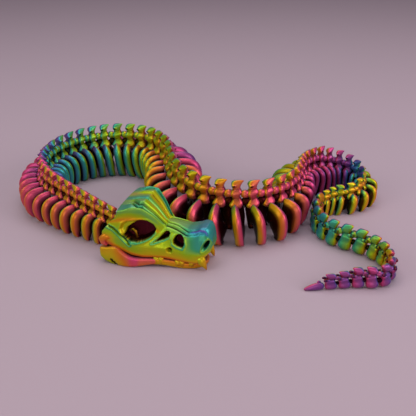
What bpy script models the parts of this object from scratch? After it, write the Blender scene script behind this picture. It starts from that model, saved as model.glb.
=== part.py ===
"""A jointed snake-skeleton toy, printed in one go in plastic and laid down in two coils.

The spine is a chain of links. Each link is a vertebra with a leaning fin, two ribs that
stand on the floor, a neck in front and a socket behind. The chain is divided into
lengths, and a ball on each length turns in the C-shaped socket of the length before it.
Inside a length the links are joined into one body.

Sizes are in millimetres until the last step. X points to the right, Y away from the
viewer and Z up. The floor is at z = 0 and the origin is under the middle of the toy.
A link's own directions are: along (towards the tail), side (to its left) and up.
"""

import bmesh
import bpy
from math import cos, radians, sin
from mathutils import Vector

MM = 0.001

# ---- the chain's course --------------------------------------------------------------
FIRST_LINK = Vector((-43.8, -39.5, 0.0))
FIRST_HEADING = 140.9                     # degrees, from the skull towards the tail
# runs of like links: how many, the turn at each one in degrees, and their spacing
RUNS = (
    (7, -0.7, 7.2),
    (6, -8.9, 6.1),
    (6, -11.5, 8.0),
    (5, -14.7, 8.9),
    (3, -7.7, 9.4),
    (3, 7.2, 9.5),
    (9, 14.4, 8.8),
    (2, 4.2, 7.9),
    (5, -12.5, 6.2),
    (6, -24.9, 6.3),
    (2, -17.4, 6.9),
    (2, 15.4, 5.0),
    (6, 18.6, 7.5),
    (2, -11.2, 8.1),
    (3, -19.9, 6.5),
    (2, -37.7, 6.7),
    (2, 7.1, 6.6),
    (2, -1.1, 6.6),
)
# height of the fin's top at some links
SPINE_HEIGHTS = ((0, 24.5), (8, 29.8), (25, 35.7), (45, 30.7), (50, 22.1), (53, 18.6),
                 (57, 16.3), (61, 14.4), (68, 11.3), (70, 10.2), (73, 4.4))
# how far the ribs spread, against the body's own proportion
RIB_SPREAD = ((0, 0.0), (1, 0.50), (2, 0.62), (4, 0.85), (8, 1.0), (36, 1.0),
              (38, 0.84), (41, 0.84), (44, 0.97), (50, 0.8), (56, 0.5))
LAST_RIBBED = 56

# the lengths and their number of links
LENGTHS = (
    ("neck", 7),
    ("trunk_1", 7),
    ("trunk_2", 7),
    ("trunk_3", 7),
    ("trunk_4", 7),
    ("trunk_5", 6),
    ("trunk_6", 5),
    ("trunk_7", 5),
    ("trunk_8", 6),
    ("tail_1", 6),
    ("tail_2", 6),
    ("tail_3", 5),
)

# ---- one link, as shares of its height H ---------------------------------------------
BLOCK_LOW = 0.585
BLOCK_HIGH = 0.715
BLOCK_HALF_LOW = 0.075
BLOCK_HALF_HIGH = 0.115
BLOCK_HALF_ALONG = 0.17                   # share of the spacing
RIB_SIDE = (0.08, 0.75, 0.50, 0.36)       # the rib's outer curve: side ...
RIB_UP = (0.70, 0.76, 0.06, 0.0)          # ... and height of its four control points
RIB_STEPS = (0.28, 0.55, 0.80, 1.0)       # places of its sections on that curve
SLOPE_STEP = 0.02                         # step on the curve that gives its slope
RIB_SWEEP_TOP = -1.9                      # millimetres towards the tail
RIB_SWEEP_FOOT = 3.4
INNER_TUCK = 0.017                        # narrowing inside a bend, for each degree
OUTER_SPREAD = 0.006                      # widening outside a bend, for each degree
RIB_GAP = 0.9                             # least gap between neighbouring ribs, outside ...
INNER_GAP = 0.9                           # ... and at their inner edges

# a rib's section: its thickness along the body, and its depth across it
RIB_THICK = 0.53                          # share of the spacing, at the outer edge ...
RIB_FLARE = 0.86                          # ... and at the inner edge
RIB_DEPTH = 0.25                          # share of the spread and H
FOOT_SHARE = 0.42                         # the foot's depth against the rib's
# where the body leans, its ribs stand to the left of the fins by this share of H
RIB_LEAN = ((0, 0.0), (19, 0.0), (23, 0.04), (28, 0.03), (31, 0.0), (36, 0.03), (39, 0.16),
            (42, 0.15), (46, 0.02), (50, 0.0))

FIN_LEAN = 1.35                           # millimetres towards the tail, at the top
FULL_HEIGHT = 30.0                        # sweep and lean shrink with H below this
# the fin's sections: height, share of the lean, front, rear, half width in front and behind
FIN_SECTIONS = ((0.840, 0.5, -0.14, 0.13, 0.032, 0.028),
                (0.910, 0.8, -0.20, 0.28, 0.090, 0.022),
                (1.000, 1.0, -0.15, 0.34, 0.070, 0.018))
NECK_HALF = 0.045
NECK_HALF_LEAST = 0.55                    # millimetres
NECK_INSET = 0.02                         # the neck is this much lower than the block

# ---- ball and socket, as shares of the spacing, and their clearance -------------------
SOCKET_OUTER = 0.285
SOCKET_WALL = 0.10
SOCKET_MOUTH = 0.72                       # width of its closed front, as a share of its bore
BALL_GAP = 0.35
BALL_END_GAP = 0.1                        # the ball is this much lower than the socket
BALL_NECK = 0.42                          # half width of its neck, as a share of its radius ...
BALL_NECK_LEAST = 0.45                    # ... and at least, in millimetres
# the ball from its neck to its front: place and half width, as shares of its radius
BALL_PROFILE = ((0.80, 0.60), (0.38, 0.92), (-0.20, 0.98), (-0.70, 0.71), (-1.0, 0.30))
BALL_NECK_AT = 1.05
SOCKET_ANGLES = (60, 82, 102, 118)        # degrees round the ball, from the front

# ---- tail links -----------------------------------------------------------------------
TAIL_HALF = 2.9                           # half width of the body, at most ...
TAIL_HALF_SHARE = 0.24                    # ... and as a share of H near the tip
TAIL_REACH = 0.38                         # half length, as a share of the spacing
TAIL_BLOCK = 0.75                         # its block's half width, as a share of the body's
# sections of its foot: height, share of the half width, share of the half length
FOOT_SECTIONS = ((0.46, 0.95, 0.92), (0.14, 1.0, 1.0), (0.0, 0.7, 0.8))
# the pointed end of the last link: how far back, half width, underside and top
TAIL_POINT = ((2.9, 1.1, 2.1, 3.2), (4.8, 0.9, 1.3, 2.7), (6.6, 0.45, 0.5, 1.5))
LEAN_FULL_AT = 1.6                        # the ribs lean fully from 1 / this of their curve

# ---- skull, in its own frame: forward, left, up ----------------------------------------
SKULL_ORIGIN = Vector((-41.9, -41.8, 0.0))
SKULL_HEADING = -17.0
# stations: forward, then half width and height of the crest, the brow's upper and lower
# edge, the cheek and the lip
SKULL_STATIONS = (
    (3.0, (8.0, 27.5), (13.6, 27.0), (13.6, 24.0), (14.6, 17.5), (13.2, 11.6)),
    (8.0, (9.0, 31.6), (14.8, 30.8), (13.6, 25.6), (15.2, 14.6), (14.0, 9.0)),
    (14.0, (9.0, 33.2), (14.0, 31.6), (12.6, 26.4), (15.3, 12.6), (14.0, 6.8)),
    (20.0, (8.0, 34.0), (12.6, 31.8), (11.0, 26.2), (14.0, 12.0), (13.0, 6.3)),
    (25.0, (6.0, 28.8), (9.8, 27.2), (9.2, 21.8), (12.4, 12.0), (11.6, 6.2)),
    (29.6, (4.0, 22.2), (6.6, 20.8), (7.4, 17.6), (10.9, 11.5), (10.2, 5.8)),
    (33.4, (4.0, 22.0), (6.8, 20.0), (8.0, 17.2), (10.2, 10.8), (9.6, 5.2)),
    (41.0, (4.2, 20.6), (7.2, 18.4), (8.2, 16.4), (9.9, 9.8), (9.2, 4.3)),
    (45.6, (4.6, 21.3), (7.6, 19.0), (8.4, 16.6), (9.6, 9.4), (8.9, 3.9)),
    (48.0, (4.6, 22.6), (7.6, 20.4), (8.4, 17.4), (9.3, 9.2), (8.7, 3.9)),
    (50.8, (4.0, 22.8), (6.8, 20.6), (7.5, 17.2), (8.3, 9.2), (7.8, 4.2)),
    (52.4, (3.0, 20.8), (5.0, 18.4), (5.8, 15.4), (6.4, 9.2), (5.8, 5.4)),
    (53.2, (1.7, 17.2), (3.1, 15.2), (3.7, 13.0), (4.1, 9.4), (3.6, 7.2)),
)
# how much further forward than its station each corner of the rear wall lies
REAR_SLANT = (2.5, 4.0, 1.0, -3.5, -4.5, -2.0)
LOWER_BROW = 3                            # columns of the table above
CHEEK = 4
NEAR = 0.1                                # how near a corner counts as on a line
PALATE_SHARE = 0.62
PALATE_RISE = 0.3
SOCKET_STEM = 4.3                         # where the rear wall narrows to the socket's stem
SOCKET_CENTRE = 1.9
SOCKET_SHIFT = 0.4                        # towards the first link, as a share of its side step
# openings in each side: from and to which station, rim and depth
OPENINGS = ((8.0, 25.0, 1.3, 4.0), (25.0, 29.6, 0.9, 1.6), (33.4, 41.0, 0.8, 2.4), (48.0, 50.8, 0.5, 1.2))
FANG_SPAN = (48.0, 50.8)                  # the stations it stands between
FANG_FROM = 4.0                           # its foot lies further out than this
FANG_SECTIONS = ((0.62, 3.2), (0.36, 1.7), (0.14, 0.6))   # share of the foot, and height

# lower jaw: forward, its middle line's half width, height of its underside and top edge
JAW_STATIONS = (
    (-3.4, 12.6, 4.0, 11.0),
    (1.0, 12.8, 1.4, 9.6),
    (5.0, 13.4, 0.8, 8.2),
    (9.0, 14.0, 0.0, 7.2),
    (14.0, 14.2, 0.0, 6.0),
    (20.0, 11.6, 1.0, 5.4),
    (26.0, 9.4, 2.0, 5.4),
    (33.0, 8.0, 0.8, 4.7),
    (40.0, 7.2, 0.0, 3.7),
    (46.5, 4.8, 0.0, 3.3),
    (50.0, 1.6, 0.8, 3.3),
)
JAW_HALF_THICK = 1.7
JAW_UNDERSIDE = 0.8                       # its thickness below, against that above


# ---- small helpers ---------------------------------------------------------------------
def between(table, x):
    """Straight-line reading of a table of (place, value) rows."""
    if x <= table[0][0]:
        return table[0][1]
    for (x0, y0), (x1, y1) in zip(table, table[1:]):
        if x <= x1:
            return y0 + (y1 - y0) * (x - x0) / (x1 - x0)
    return table[-1][1]


def bezier(p, t):
    s = 1.0 - t
    return s * s * s * p[0] + 3 * s * s * t * p[1] + 3 * s * t * t * p[2] + t * t * t * p[3]


class Frame:
    """A place on the floor and a direction there."""

    def __init__(self, origin, heading):
        self.origin = origin
        self.along = Vector((cos(radians(heading)), sin(radians(heading)), 0.0))
        self.left = Vector((-self.along.y, self.along.x, 0.0))
        self.heading = heading

    def at(self, along, left, up):
        return self.origin + along * self.along + left * self.left + Vector((0.0, 0.0, up))


def add_ring(bm, points):
    return [bm.verts.new(p * MM) for p in points]


def wall(bm, ring, other):
    """Quads between two rings of the same number of corners."""
    n = len(ring)
    for i in range(n):
        bm.faces.new((ring[i], ring[(i + 1) % n], other[(i + 1) % n], other[i]))


def grow(bm, ring, rings, closed=True):
    """Lengthen a body from one of its open rings, and close its end."""
    for points in rings:
        new = add_ring(bm, points)
        wall(bm, ring, new)
        ring = new
    if closed:
        bm.faces.new(ring)
    return ring


# ---- the chain -------------------------------------------------------------------------
class Link:
    def __init__(self, index, frame, before, after):
        self.index = index
        self.frame = frame
        self.beside = (before, after)     # turn and distance to both neighbours
        self.turn = (before[0] + after[0]) / 2
        self.spacing = (before[1] + after[1]) / 2
        self.height = between(SPINE_HEIGHTS, index)
        self.ribbed = index <= LAST_RIBBED


def lay_chain():
    steps = [(turn, gap) for count, turn, gap in RUNS for _ in range(count)]
    heading = FIRST_HEADING
    place = FIRST_LINK.copy()
    links = []
    for index in range(len(steps) + 1):
        before = steps[max(index - 1, 0)]
        after = steps[min(index, len(steps) - 1)]
        links.append(Link(index, Frame(place.copy(), heading), before, after))
        if index < len(steps):
            turn, gap = steps[index]
            course = Frame(place, heading + turn / 2)
            place = course.at(gap, 0.0, 0.0)
            heading += turn
    return links


def rib_rings(link, side):
    """Sections of one rib from its root to its flat foot; side is 1 (left) or -1."""
    h = link.height
    inward = link.turn * side > 0
    bend = abs(link.turn)
    thick = RIB_THICK * link.spacing
    lean = side * between(RIB_LEAN, link.index) * h
    spread = between(RIB_SPREAD, link.index)
    spread *= 1.0 - INNER_TUCK * bend if inward else 1.0 + OUTER_SPREAD * bend
    depth = RIB_DEPTH * spread * h
    rings = []
    for t in RIB_STEPS:
        reach = bezier(RIB_SIDE, t) * spread * h + lean * min(1.0, LEAN_FULL_AT * t)
        up = bezier(RIB_UP, t) * h
        before = t - SLOPE_STEP
        after = min(t + SLOPE_STEP, 1.0)
        ahead = Vector(((bezier(RIB_SIDE, after) - bezier(RIB_SIDE, before)) * spread,
                        bezier(RIB_UP, after) - bezier(RIB_UP, before)))
        inner = Vector((ahead.y, -ahead.x)).normalized() * depth
        sweep = (RIB_SWEEP_TOP + (RIB_SWEEP_FOOT - RIB_SWEEP_TOP) * t) * min(1.0, h / FULL_HEIGHT)
        room = link.spacing
        if inward:
            room -= radians(abs(link.turn)) * reach
        half = min(thick, room - RIB_GAP) / 2
        inner_room = min(gap - radians(turn) * side * (reach + inner.x) for turn, gap in link.beside)
        half_in = max(half, min(RIB_FLARE * link.spacing, inner_room - INNER_GAP) / 2)
        if t == RIB_STEPS[-1]:
            inner = Vector((-FOOT_SHARE * depth, 0.0))
            up = 0.0
            half_in = half
        rings.append([
            link.frame.at(sweep - half, side * reach, up),
            link.frame.at(sweep + half, side * reach, up),
            link.frame.at(sweep + half_in, side * (reach + inner.x), up + inner.y),
            link.frame.at(sweep - half_in, side * (reach + inner.x), up + inner.y),
        ])
    return rings


def fin_rings(link):
    """Sections of the fin: its waist, and a cap wide in front, pointed behind."""
    h = link.height
    s = link.spacing
    out = []
    for up, lean, front, rear, half_front, half_rear in FIN_SECTIONS:
        shift = lean * FIN_LEAN * min(1.0, h / FULL_HEIGHT)
        out.append([
            link.frame.at(shift + front * s, half_front * h, up * h),
            link.frame.at(shift + front * s, -half_front * h, up * h),
            link.frame.at(shift + rear * s, -half_rear * h, up * h),
            link.frame.at(shift + rear * s, half_rear * h, up * h),
        ])
    return out


def end_quad(link, along, half_high, half_low, high, low):
    return [
        link.frame.at(along, half_high, high),
        link.frame.at(along, -half_high, high),
        link.frame.at(along, -half_low, low),
        link.frame.at(along, half_low, low),
    ]


def neck_quad(link, after):
    """The narrow middle of the neck that joins two links of one length."""
    middle, _ = pivot_between(link, after)
    half = max(NECK_HALF * link.height, NECK_HALF_LEAST)
    low, high = socket_levels(link, after)
    return [middle.at(0.0, half, high), middle.at(0.0, -half, high),
            middle.at(0.0, -half, low), middle.at(0.0, half, low)]


def neck_levels(link):
    h = link.height
    return (BLOCK_LOW + NECK_INSET) * h, (BLOCK_HIGH - NECK_INSET) * h


def add_link(bm, link):
    """The block of one link with its fin and ribs; returns its open front and rear rings."""
    h = link.height
    half = BLOCK_HALF_ALONG * link.spacing
    high = BLOCK_HIGH * h
    low = BLOCK_LOW * h
    wide = BLOCK_HALF_HIGH * h
    narrow = BLOCK_HALF_LOW * h
    if not link.ribbed:
        wide = min(wide, TAIL_BLOCK * TAIL_HALF)
        narrow = wide
    front = add_ring(bm, end_quad(link, -half, wide, narrow, high, low))
    rear = add_ring(bm, end_quad(link, half, wide, narrow, high, low))
    grow(bm, [front[0], front[1], rear[1], rear[0]], fin_rings(link))
    left = [front[0], rear[0], rear[3], front[3]]
    right = [front[1], rear[1], rear[2], front[2]]
    under = [front[3], front[2], rear[2], rear[3]]
    if link.ribbed and between(RIB_SPREAD, link.index) > 0:
        grow(bm, left, rib_rings(link, 1))
        grow(bm, right, rib_rings(link, -1))
        bm.faces.new(under)
    elif link.ribbed:
        bm.faces.new(left)
        bm.faces.new(right)
        bm.faces.new(under)
    else:
        bm.faces.new(left)
        bm.faces.new(right)
        grow(bm, under, foot_rings(link))
    return front, rear


def foot_rings(link):
    """The lobed underside of a tail link, down to its flat."""
    h = link.height
    wide = min(TAIL_HALF, TAIL_HALF_SHARE * h)
    room = link.spacing - radians(abs(link.turn)) * wide
    half = min(TAIL_REACH * link.spacing, (room - RIB_GAP) / 2)
    rings = []
    for up, share, reach in FOOT_SECTIONS:
        rings.append([
            link.frame.at(-half * reach, share * wide, up * h),
            link.frame.at(-half * reach, -share * wide, up * h),
            link.frame.at(half * reach, -share * wide, up * h),
            link.frame.at(half * reach, share * wide, up * h),
        ])
    return rings


def pivot_between(link, after):
    """The ball's centre on the line between two links, and the frame there."""
    gap = after.frame.origin - link.frame.origin
    heading = (link.frame.heading + after.frame.heading) / 2
    return Frame(link.frame.origin + gap * 0.5, heading), gap.length


def add_socket(bm, ring, pivot, spacing, low, high):
    """A C-shaped socket round the pivot, grown from a ring of four corners in front of it."""
    outer = SOCKET_OUTER * spacing
    inner = outer - SOCKET_WALL * spacing
    shut = SOCKET_MOUTH * inner
    wall_at = -inner

    def corner(side, up):
        return pivot.at(wall_at, side, up)

    eight = [corner(outer, high), corner(shut, high), corner(-shut, high), corner(-outer, high),
             corner(-outer, low), corner(-shut, low), corner(shut, low), corner(outer, low)]
    v = add_ring(bm, eight)
    bm.faces.new((ring[0], ring[1], v[3], v[2], v[1], v[0]))
    bm.faces.new((ring[1], ring[2], v[4], v[3]))
    bm.faces.new((ring[2], ring[3], v[7], v[6], v[5], v[4]))
    bm.faces.new((ring[3], ring[0], v[0], v[7]))
    bm.faces.new((v[1], v[2], v[5], v[6]))
    for side, start in ((1, (v[0], v[1], v[6], v[7])), (-1, (v[3], v[2], v[5], v[4]))):
        rings = []
        for angle in SOCKET_ANGLES:
            back = -cos(radians(angle))
            out = side * sin(radians(angle))
            rings.append([pivot.at(outer * back, outer * out, high),
                          pivot.at(inner * back, inner * out, high),
                          pivot.at(inner * back, inner * out, low),
                          pivot.at(outer * back, outer * out, low)])
        grow(bm, list(start), rings)


def add_ball(bm, ring, pivot, spacing, low, high):
    """A neck and an upright round ball that turns in the socket."""
    radius = (SOCKET_OUTER - SOCKET_WALL) * spacing - BALL_GAP
    neck = max(BALL_NECK * radius, BALL_NECK_LEAST)
    profile = [(BALL_NECK_AT * radius, neck)]
    profile += [(along * radius, half * radius) for along, half in BALL_PROFILE]
    rings = []
    for along, half in profile:
        rings.append([pivot.at(along, half, high), pivot.at(along, -half, high),
                      pivot.at(along, -half, low), pivot.at(along, half, low)])
    grow(bm, ring, rings)


def build_length(links, first, last, socket_after):
    bm = bmesh.new()
    rear = None
    for index in range(first, last + 1):
        link = links[index]
        front, back = add_link(bm, link)
        if index > first:
            neck = grow(bm, rear, [neck_quad(links[index - 1], link)], closed=False)
            wall(bm, neck, front)
        else:
            if index:
                pivot, gap = pivot_between(links[index - 1], link)
                low, high = socket_levels(links[index - 1], link)
            else:
                pivot, gap, low, high = skull_pivot(links)
            add_ball(bm, front, pivot, gap, low + BALL_END_GAP, high - BALL_END_GAP)
        rear = back
    if socket_after:
        pivot, gap = pivot_between(links[last], links[last + 1])
        low, high = socket_levels(links[last], links[last + 1])
        add_socket(bm, rear, pivot, gap, low, high)
    else:
        grow(bm, rear, [end_quad(links[last], along, half, half, high, low)
                        for along, half, low, high in TAIL_POINT])
    return bm


def socket_levels(link, after):
    low, high = neck_levels(link)
    low2, high2 = neck_levels(after)
    return (low + low2) / 2, (high + high2) / 2


# ---- skull and lower jaw ---------------------------------------------------------------
SKULL = Frame(SKULL_ORIGIN, SKULL_HEADING)
SKULL_SOCKET_SPACING = 5.8
SKULL_SOCKET_HALF_HIGH = 1.6


def skull_pivot(links):
    """The ball behind the braincase: between its rear wall and the first link."""
    link = links[0]
    low, high = neck_levels(link)
    middle = (low + high) / 2
    to_link = link.frame.origin - SKULL.origin
    pivot = Frame(SKULL.at(SOCKET_CENTRE, to_link.dot(SKULL.left) * SOCKET_SHIFT, 0.0), SKULL_HEADING + 180)
    low = middle - SKULL_SOCKET_HALF_HIGH
    return pivot, SKULL_SOCKET_SPACING, low, low + 2 * SKULL_SOCKET_HALF_HIGH


def skull_ring(station, slant=(0.0,) * 6):
    forward, *corners = station
    lip_half, lip = corners[-1]
    corners = corners + [(PALATE_SHARE * lip_half, lip + PALATE_RISE)]
    left = [SKULL.at(forward + f, y, z) for (y, z), f in zip(corners, slant)]
    right = [SKULL.at(forward + f, -y, z) for (y, z), f in zip(corners, slant)]
    return left + right[::-1]


def build_skull(links):
    bm = bmesh.new()
    rings = [add_ring(bm, skull_ring(SKULL_STATIONS[0], REAR_SLANT))]
    rings += [add_ring(bm, skull_ring(station)) for station in SKULL_STATIONS[1:]]
    for ring, after in zip(rings, rings[1:]):
        wall(bm, ring, after)
    bm.faces.new(rings[-1])
    # the back of the braincase, down to a small four-cornered face for the socket
    pivot, spacing, low, high = skull_pivot(links)
    outer = SOCKET_OUTER * spacing
    side = (pivot.origin - SKULL.origin).dot(SKULL.left)
    stem = add_ring(bm, [SKULL.at(SOCKET_STEM, side - outer, high), SKULL.at(SOCKET_STEM, side + outer, high),
                         SKULL.at(SOCKET_STEM, side + outer, low), SKULL.at(SOCKET_STEM, side - outer, low)])
    edges = [bm.edges.get((a, b)) for a, b in zip(rings[0], rings[0][1:] + rings[0][:1])]
    for a, b in zip(stem, stem[1:] + stem[:1]):
        edges.append(bm.edges.new((a, b)))
    bmesh.ops.bridge_loops(bm, edges=edges)
    add_socket(bm, stem, pivot, spacing, low, high)
    bmesh.ops.recalc_face_normals(bm, faces=bm.faces)
    for start, stop, rim, depth in OPENINGS:
        carve(bm, (start, stop), rim, depth)
    add_fangs(bm)
    return bm


def side_faces(bm, span, low_corner, high_corner):
    """Faces between two lines of stations, in a stretch of the skull, on each side."""
    sides = {1: [], -1: []}
    for face in bm.faces:
        spots = [v.co / MM - SKULL.origin for v in face.verts]
        forward = [p.dot(SKULL.along) for p in spots]
        if min(forward) < span[0] - NEAR or max(forward) > span[1] + NEAR:
            continue
        left = [p.dot(SKULL.left) for p in spots]
        up = [p.z for p in spots]
        if low_corner(forward, left, up) and high_corner(forward, left, up):
            sides[1 if left[0] > 0 else -1].append(face)
    return sides


def level(corner, forward):
    return between([(row[0], row[corner][1]) for row in SKULL_STATIONS], forward)


def carve(bm, span, rim, depth):
    """Sink an opening into each side of the skull, between cheek and brow."""
    def low_corner(forward, left, up):
        return all(z > level(CHEEK, f) - NEAR for f, z in zip(forward, up))

    def high_corner(forward, left, up):
        return all(z < level(LOWER_BROW, f) + NEAR for f, z in zip(forward, up))

    for faces in side_faces(bm, span, low_corner, high_corner).values():
        bmesh.ops.inset_region(bm, faces=faces, thickness=rim * MM, depth=-depth * MM,
                               use_even_offset=True, use_boundary=True)


def add_fangs(bm):
    """Two curved fangs under the front of the upper jaw."""
    for side in (1, -1):
        for face in list(bm.faces):
            spots = [v.co / MM - SKULL.origin for v in face.verts]
            forward = [p.dot(SKULL.along) for p in spots]
            left = [side * p.dot(SKULL.left) for p in spots]
            if min(forward) < FANG_SPAN[0] - NEAR or max(forward) > FANG_SPAN[1] + NEAR:
                continue
            if min(left) < FANG_FROM or face.normal.z > -0.5:
                continue
            ring = list(face.verts)
            bm.faces.remove(face)
            centre = sum((v.co for v in ring), Vector()) / len(ring) / MM
            rings = []
            for share, up in FANG_SECTIONS:
                rings.append([centre + (v.co / MM - centre) * share for v in ring])
                for p in rings[-1]:
                    p.z = up
            grow(bm, ring, rings)
            break


def build_jaw():
    bm = bmesh.new()
    whole = [(f, y, low, high) for f, y, low, high in JAW_STATIONS]
    whole += [(f, -y, low, high) for f, y, low, high in JAW_STATIONS[::-1]]
    ring = None
    for index, (f, y, low, high) in enumerate(whole):
        before = whole[max(index - 1, 0)]
        after = whole[min(index + 1, len(whole) - 1)]
        run = Vector((after[0] - before[0], after[1] - before[1])).normalized()
        out = Vector((run.y, -run.x)) * JAW_HALF_THICK
        points = [SKULL.at(f - out.x, y - out.y, high), SKULL.at(f + out.x, y + out.y, high),
                  SKULL.at(f + out.x * JAW_UNDERSIDE, y + out.y * JAW_UNDERSIDE, low),
                  SKULL.at(f - out.x * JAW_UNDERSIDE, y - out.y * JAW_UNDERSIDE, low)]
        new = add_ring(bm, points)
        if ring:
            wall(bm, ring, new)
        else:
            bm.faces.new(new)
        ring = new
    bm.faces.new(ring)
    return bm


# ---- colours and objects ---------------------------------------------------------------
def plastic(name, colour):
    """Silk-finished printing plastic: fairly smooth, not metal."""
    material = bpy.data.materials.new(name)
    material.use_nodes = True
    shader = material.node_tree.nodes["Principled BSDF"]
    shader.inputs["Base Color"].default_value = (*colour, 1.0)
    shader.inputs["Roughness"].default_value = 0.32
    shader.inputs["Metallic"].default_value = 0.0
    return material


COLOURS = {
    "skull": (0.30, 0.42, 0.10),
    "lower_jaw": (0.62, 0.14, 0.20),
    "neck": (0.55, 0.16, 0.22),
    "trunk_1": (0.62, 0.12, 0.32),
    "trunk_2": (0.12, 0.36, 0.52),
    "trunk_3": (0.30, 0.50, 0.20),
    "trunk_4": (0.60, 0.30, 0.12),
    "trunk_5": (0.58, 0.46, 0.10),
    "trunk_6": (0.45, 0.50, 0.12),
    "trunk_7": (0.50, 0.16, 0.36),
    "trunk_8": (0.56, 0.44, 0.14),
    "tail_1": (0.12, 0.42, 0.42),
    "tail_2": (0.34, 0.48, 0.16),
    "tail_3": (0.44, 0.12, 0.38),
}


def finish(name, bm):
    bmesh.ops.recalc_face_normals(bm, faces=bm.faces)
    bmesh.ops.triangulate(bm, faces=bm.faces)
    mesh = bpy.data.meshes.new(name)
    bm.to_mesh(mesh)
    bm.free()
    mesh.shade_smooth()
    mesh.set_sharp_from_angle(angle=radians(35))
    mesh.materials.append(plastic(name + "_plastic", COLOURS[name]))
    piece = bpy.data.objects.new(name, mesh)
    bpy.context.scene.collection.objects.link(piece)


def main():
    for old in list(bpy.data.objects):
        bpy.data.objects.remove(old, do_unlink=True)
    links = lay_chain()
    finish("skull", build_skull(links))
    finish("lower_jaw", build_jaw())
    first = 0
    for name, count in LENGTHS:
        last = first + count - 1
        finish(name, build_length(links, first, last, last + 1 < len(links)))
        first = last + 1


main()
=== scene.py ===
"""A jointed snake-skeleton toy, printed in one go in silk plastic and laid down in two coils."""
import bmesh
import bpy
import math
import numpy as np
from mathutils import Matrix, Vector


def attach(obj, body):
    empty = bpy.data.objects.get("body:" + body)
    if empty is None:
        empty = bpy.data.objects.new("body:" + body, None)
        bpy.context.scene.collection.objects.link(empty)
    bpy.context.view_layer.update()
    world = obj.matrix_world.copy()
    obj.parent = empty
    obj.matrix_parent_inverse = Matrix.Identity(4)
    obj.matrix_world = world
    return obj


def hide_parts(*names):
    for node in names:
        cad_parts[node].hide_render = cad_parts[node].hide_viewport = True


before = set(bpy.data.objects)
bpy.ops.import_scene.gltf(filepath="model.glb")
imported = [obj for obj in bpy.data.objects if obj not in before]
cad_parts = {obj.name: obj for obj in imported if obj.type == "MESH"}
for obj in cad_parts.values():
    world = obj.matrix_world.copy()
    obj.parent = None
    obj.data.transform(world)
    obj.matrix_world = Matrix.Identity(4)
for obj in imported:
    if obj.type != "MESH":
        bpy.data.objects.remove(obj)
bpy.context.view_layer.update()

# ---- Table, light and camera ---------------------------------------------------------------
# The toy lies on a plain pale table, under wide soft panels with no hard shadow.
# The camera looks down at it from the front at about 27 degrees.
TABLE_REACH = 40.0
table_mesh = bpy.data.meshes.new("table")
table_corners = [(x * TABLE_REACH, y * TABLE_REACH, 0) for x, y in ((-1, -1), (1, -1), (1, 1), (-1, 1))]
table_mesh.from_pydata(table_corners, [], [(0, 1, 2, 3)])
table = bpy.data.objects.new("table", table_mesh)
bpy.context.scene.collection.objects.link(table)

table_paint = bpy.data.materials.new("table_paint")
table_paint.use_nodes = True
shader = table_paint.node_tree.nodes["Principled BSDF"]
shader.inputs["Base Color"].default_value = (0.47, 0.365, 0.42, 1.0)
shader.inputs["Roughness"].default_value = 0.9
shader.inputs["Specular IOR Level"].default_value = 0.1
table_mesh.materials.append(table_paint)


def soft_panel(name, place, aim, size, power, colour):
    """A square lamp panel that points at a spot on the table."""
    lamp = bpy.data.lights.new(name, "AREA")
    lamp.shape = "SQUARE"
    lamp.size = size
    lamp.energy = power
    lamp.color = colour
    panel = bpy.data.objects.new(name, lamp)
    panel.location = place
    panel.rotation_euler = (Vector(aim) - Vector(place)).to_track_quat("-Z", "Y").to_euler()
    bpy.context.scene.collection.objects.link(panel)


TOY_MIDDLE = (0, 0, 0.02)
soft_panel("panel_above", (0.0, 0.05, 0.9), (0, 0, 0), 0.9, 5.0, (1.0, 0.98, 1.0))
soft_panel("panel_left", (-0.75, -0.45, 0.5), TOY_MIDDLE, 0.55, 2.2, (1.0, 0.97, 0.92))
soft_panel("panel_right", (0.8, -0.35, 0.45), TOY_MIDDLE, 0.5, 3.6, (1.0, 0.94, 0.97))
soft_panel("panel_front", (0.0, -0.85, 0.16), TOY_MIDDLE, 0.4, 1.3, (1.0, 0.98, 0.97))

room = bpy.context.scene.world or bpy.data.worlds.new("room")
bpy.context.scene.world = room
room.use_nodes = True
room.node_tree.nodes["Background"].inputs["Color"].default_value = (0.80, 0.76, 0.84, 1.0)
room.node_tree.nodes["Background"].inputs["Strength"].default_value = 0.24

eye_point = Vector((0.0062, -0.31454, 0.16437))
look_point = Vector((0.0062, 0.0053, 0.0))
lens = bpy.data.cameras.new("camera")
lens.lens = 51.58
lens.sensor_width = 36.0
camera = bpy.data.objects.new("camera", lens)
camera.location = eye_point
camera.rotation_euler = (look_point - eye_point).to_track_quat("-Z", "Y").to_euler()
bpy.context.scene.collection.objects.link(camera)
bpy.context.scene.camera = camera
# colours as they are, not softened
bpy.context.scene.view_settings.view_transform = "Standard"

# ---- Silk plastic --------------------------------------------------------------------------
# The filament is three colours laid side by side, so a wall's colour depends on the way it
# faces: yellow, orange, pink, purple, blue, teal and lime follow each other round the toy.
SILK_WHEEL = (
    (0.00, (0.62, 0.43, 0.004)),
    (0.11, (0.68, 0.19, 0.012)),
    (0.24, (0.68, 0.075, 0.125)),
    (0.34, (0.60, 0.055, 0.19)),
    (0.46, (0.30, 0.060, 0.22)),
    (0.56, (0.13, 0.045, 0.25)),
    (0.66, (0.040, 0.14, 0.34)),
    (0.76, (0.035, 0.34, 0.33)),
    (0.85, (0.060, 0.37, 0.13)),
    (0.93, (0.32, 0.52, 0.008)),
    (1.00, (0.62, 0.43, 0.004)),
)
# how far the colour wanders from spot to spot, as a share of the wheel
WANDER = 0.10
# share of metal in the sheen, on the outside and at the bottom of a gap, where shade is painted
SILK_METAL, GAP_METAL = 0.55, 0.90
# grey of the last layer's lines, and the painted shade: what is left of a colour at the bottom of a gap
TOP_GREY = (0.24, 0.20, 0.30, 1.0)
GAP_PAINTED_SHADE = (0.060, 0.030, 0.036, 1.0)
LAYER, LAYER_RELIEF = 0.0002, 0.00001


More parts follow.
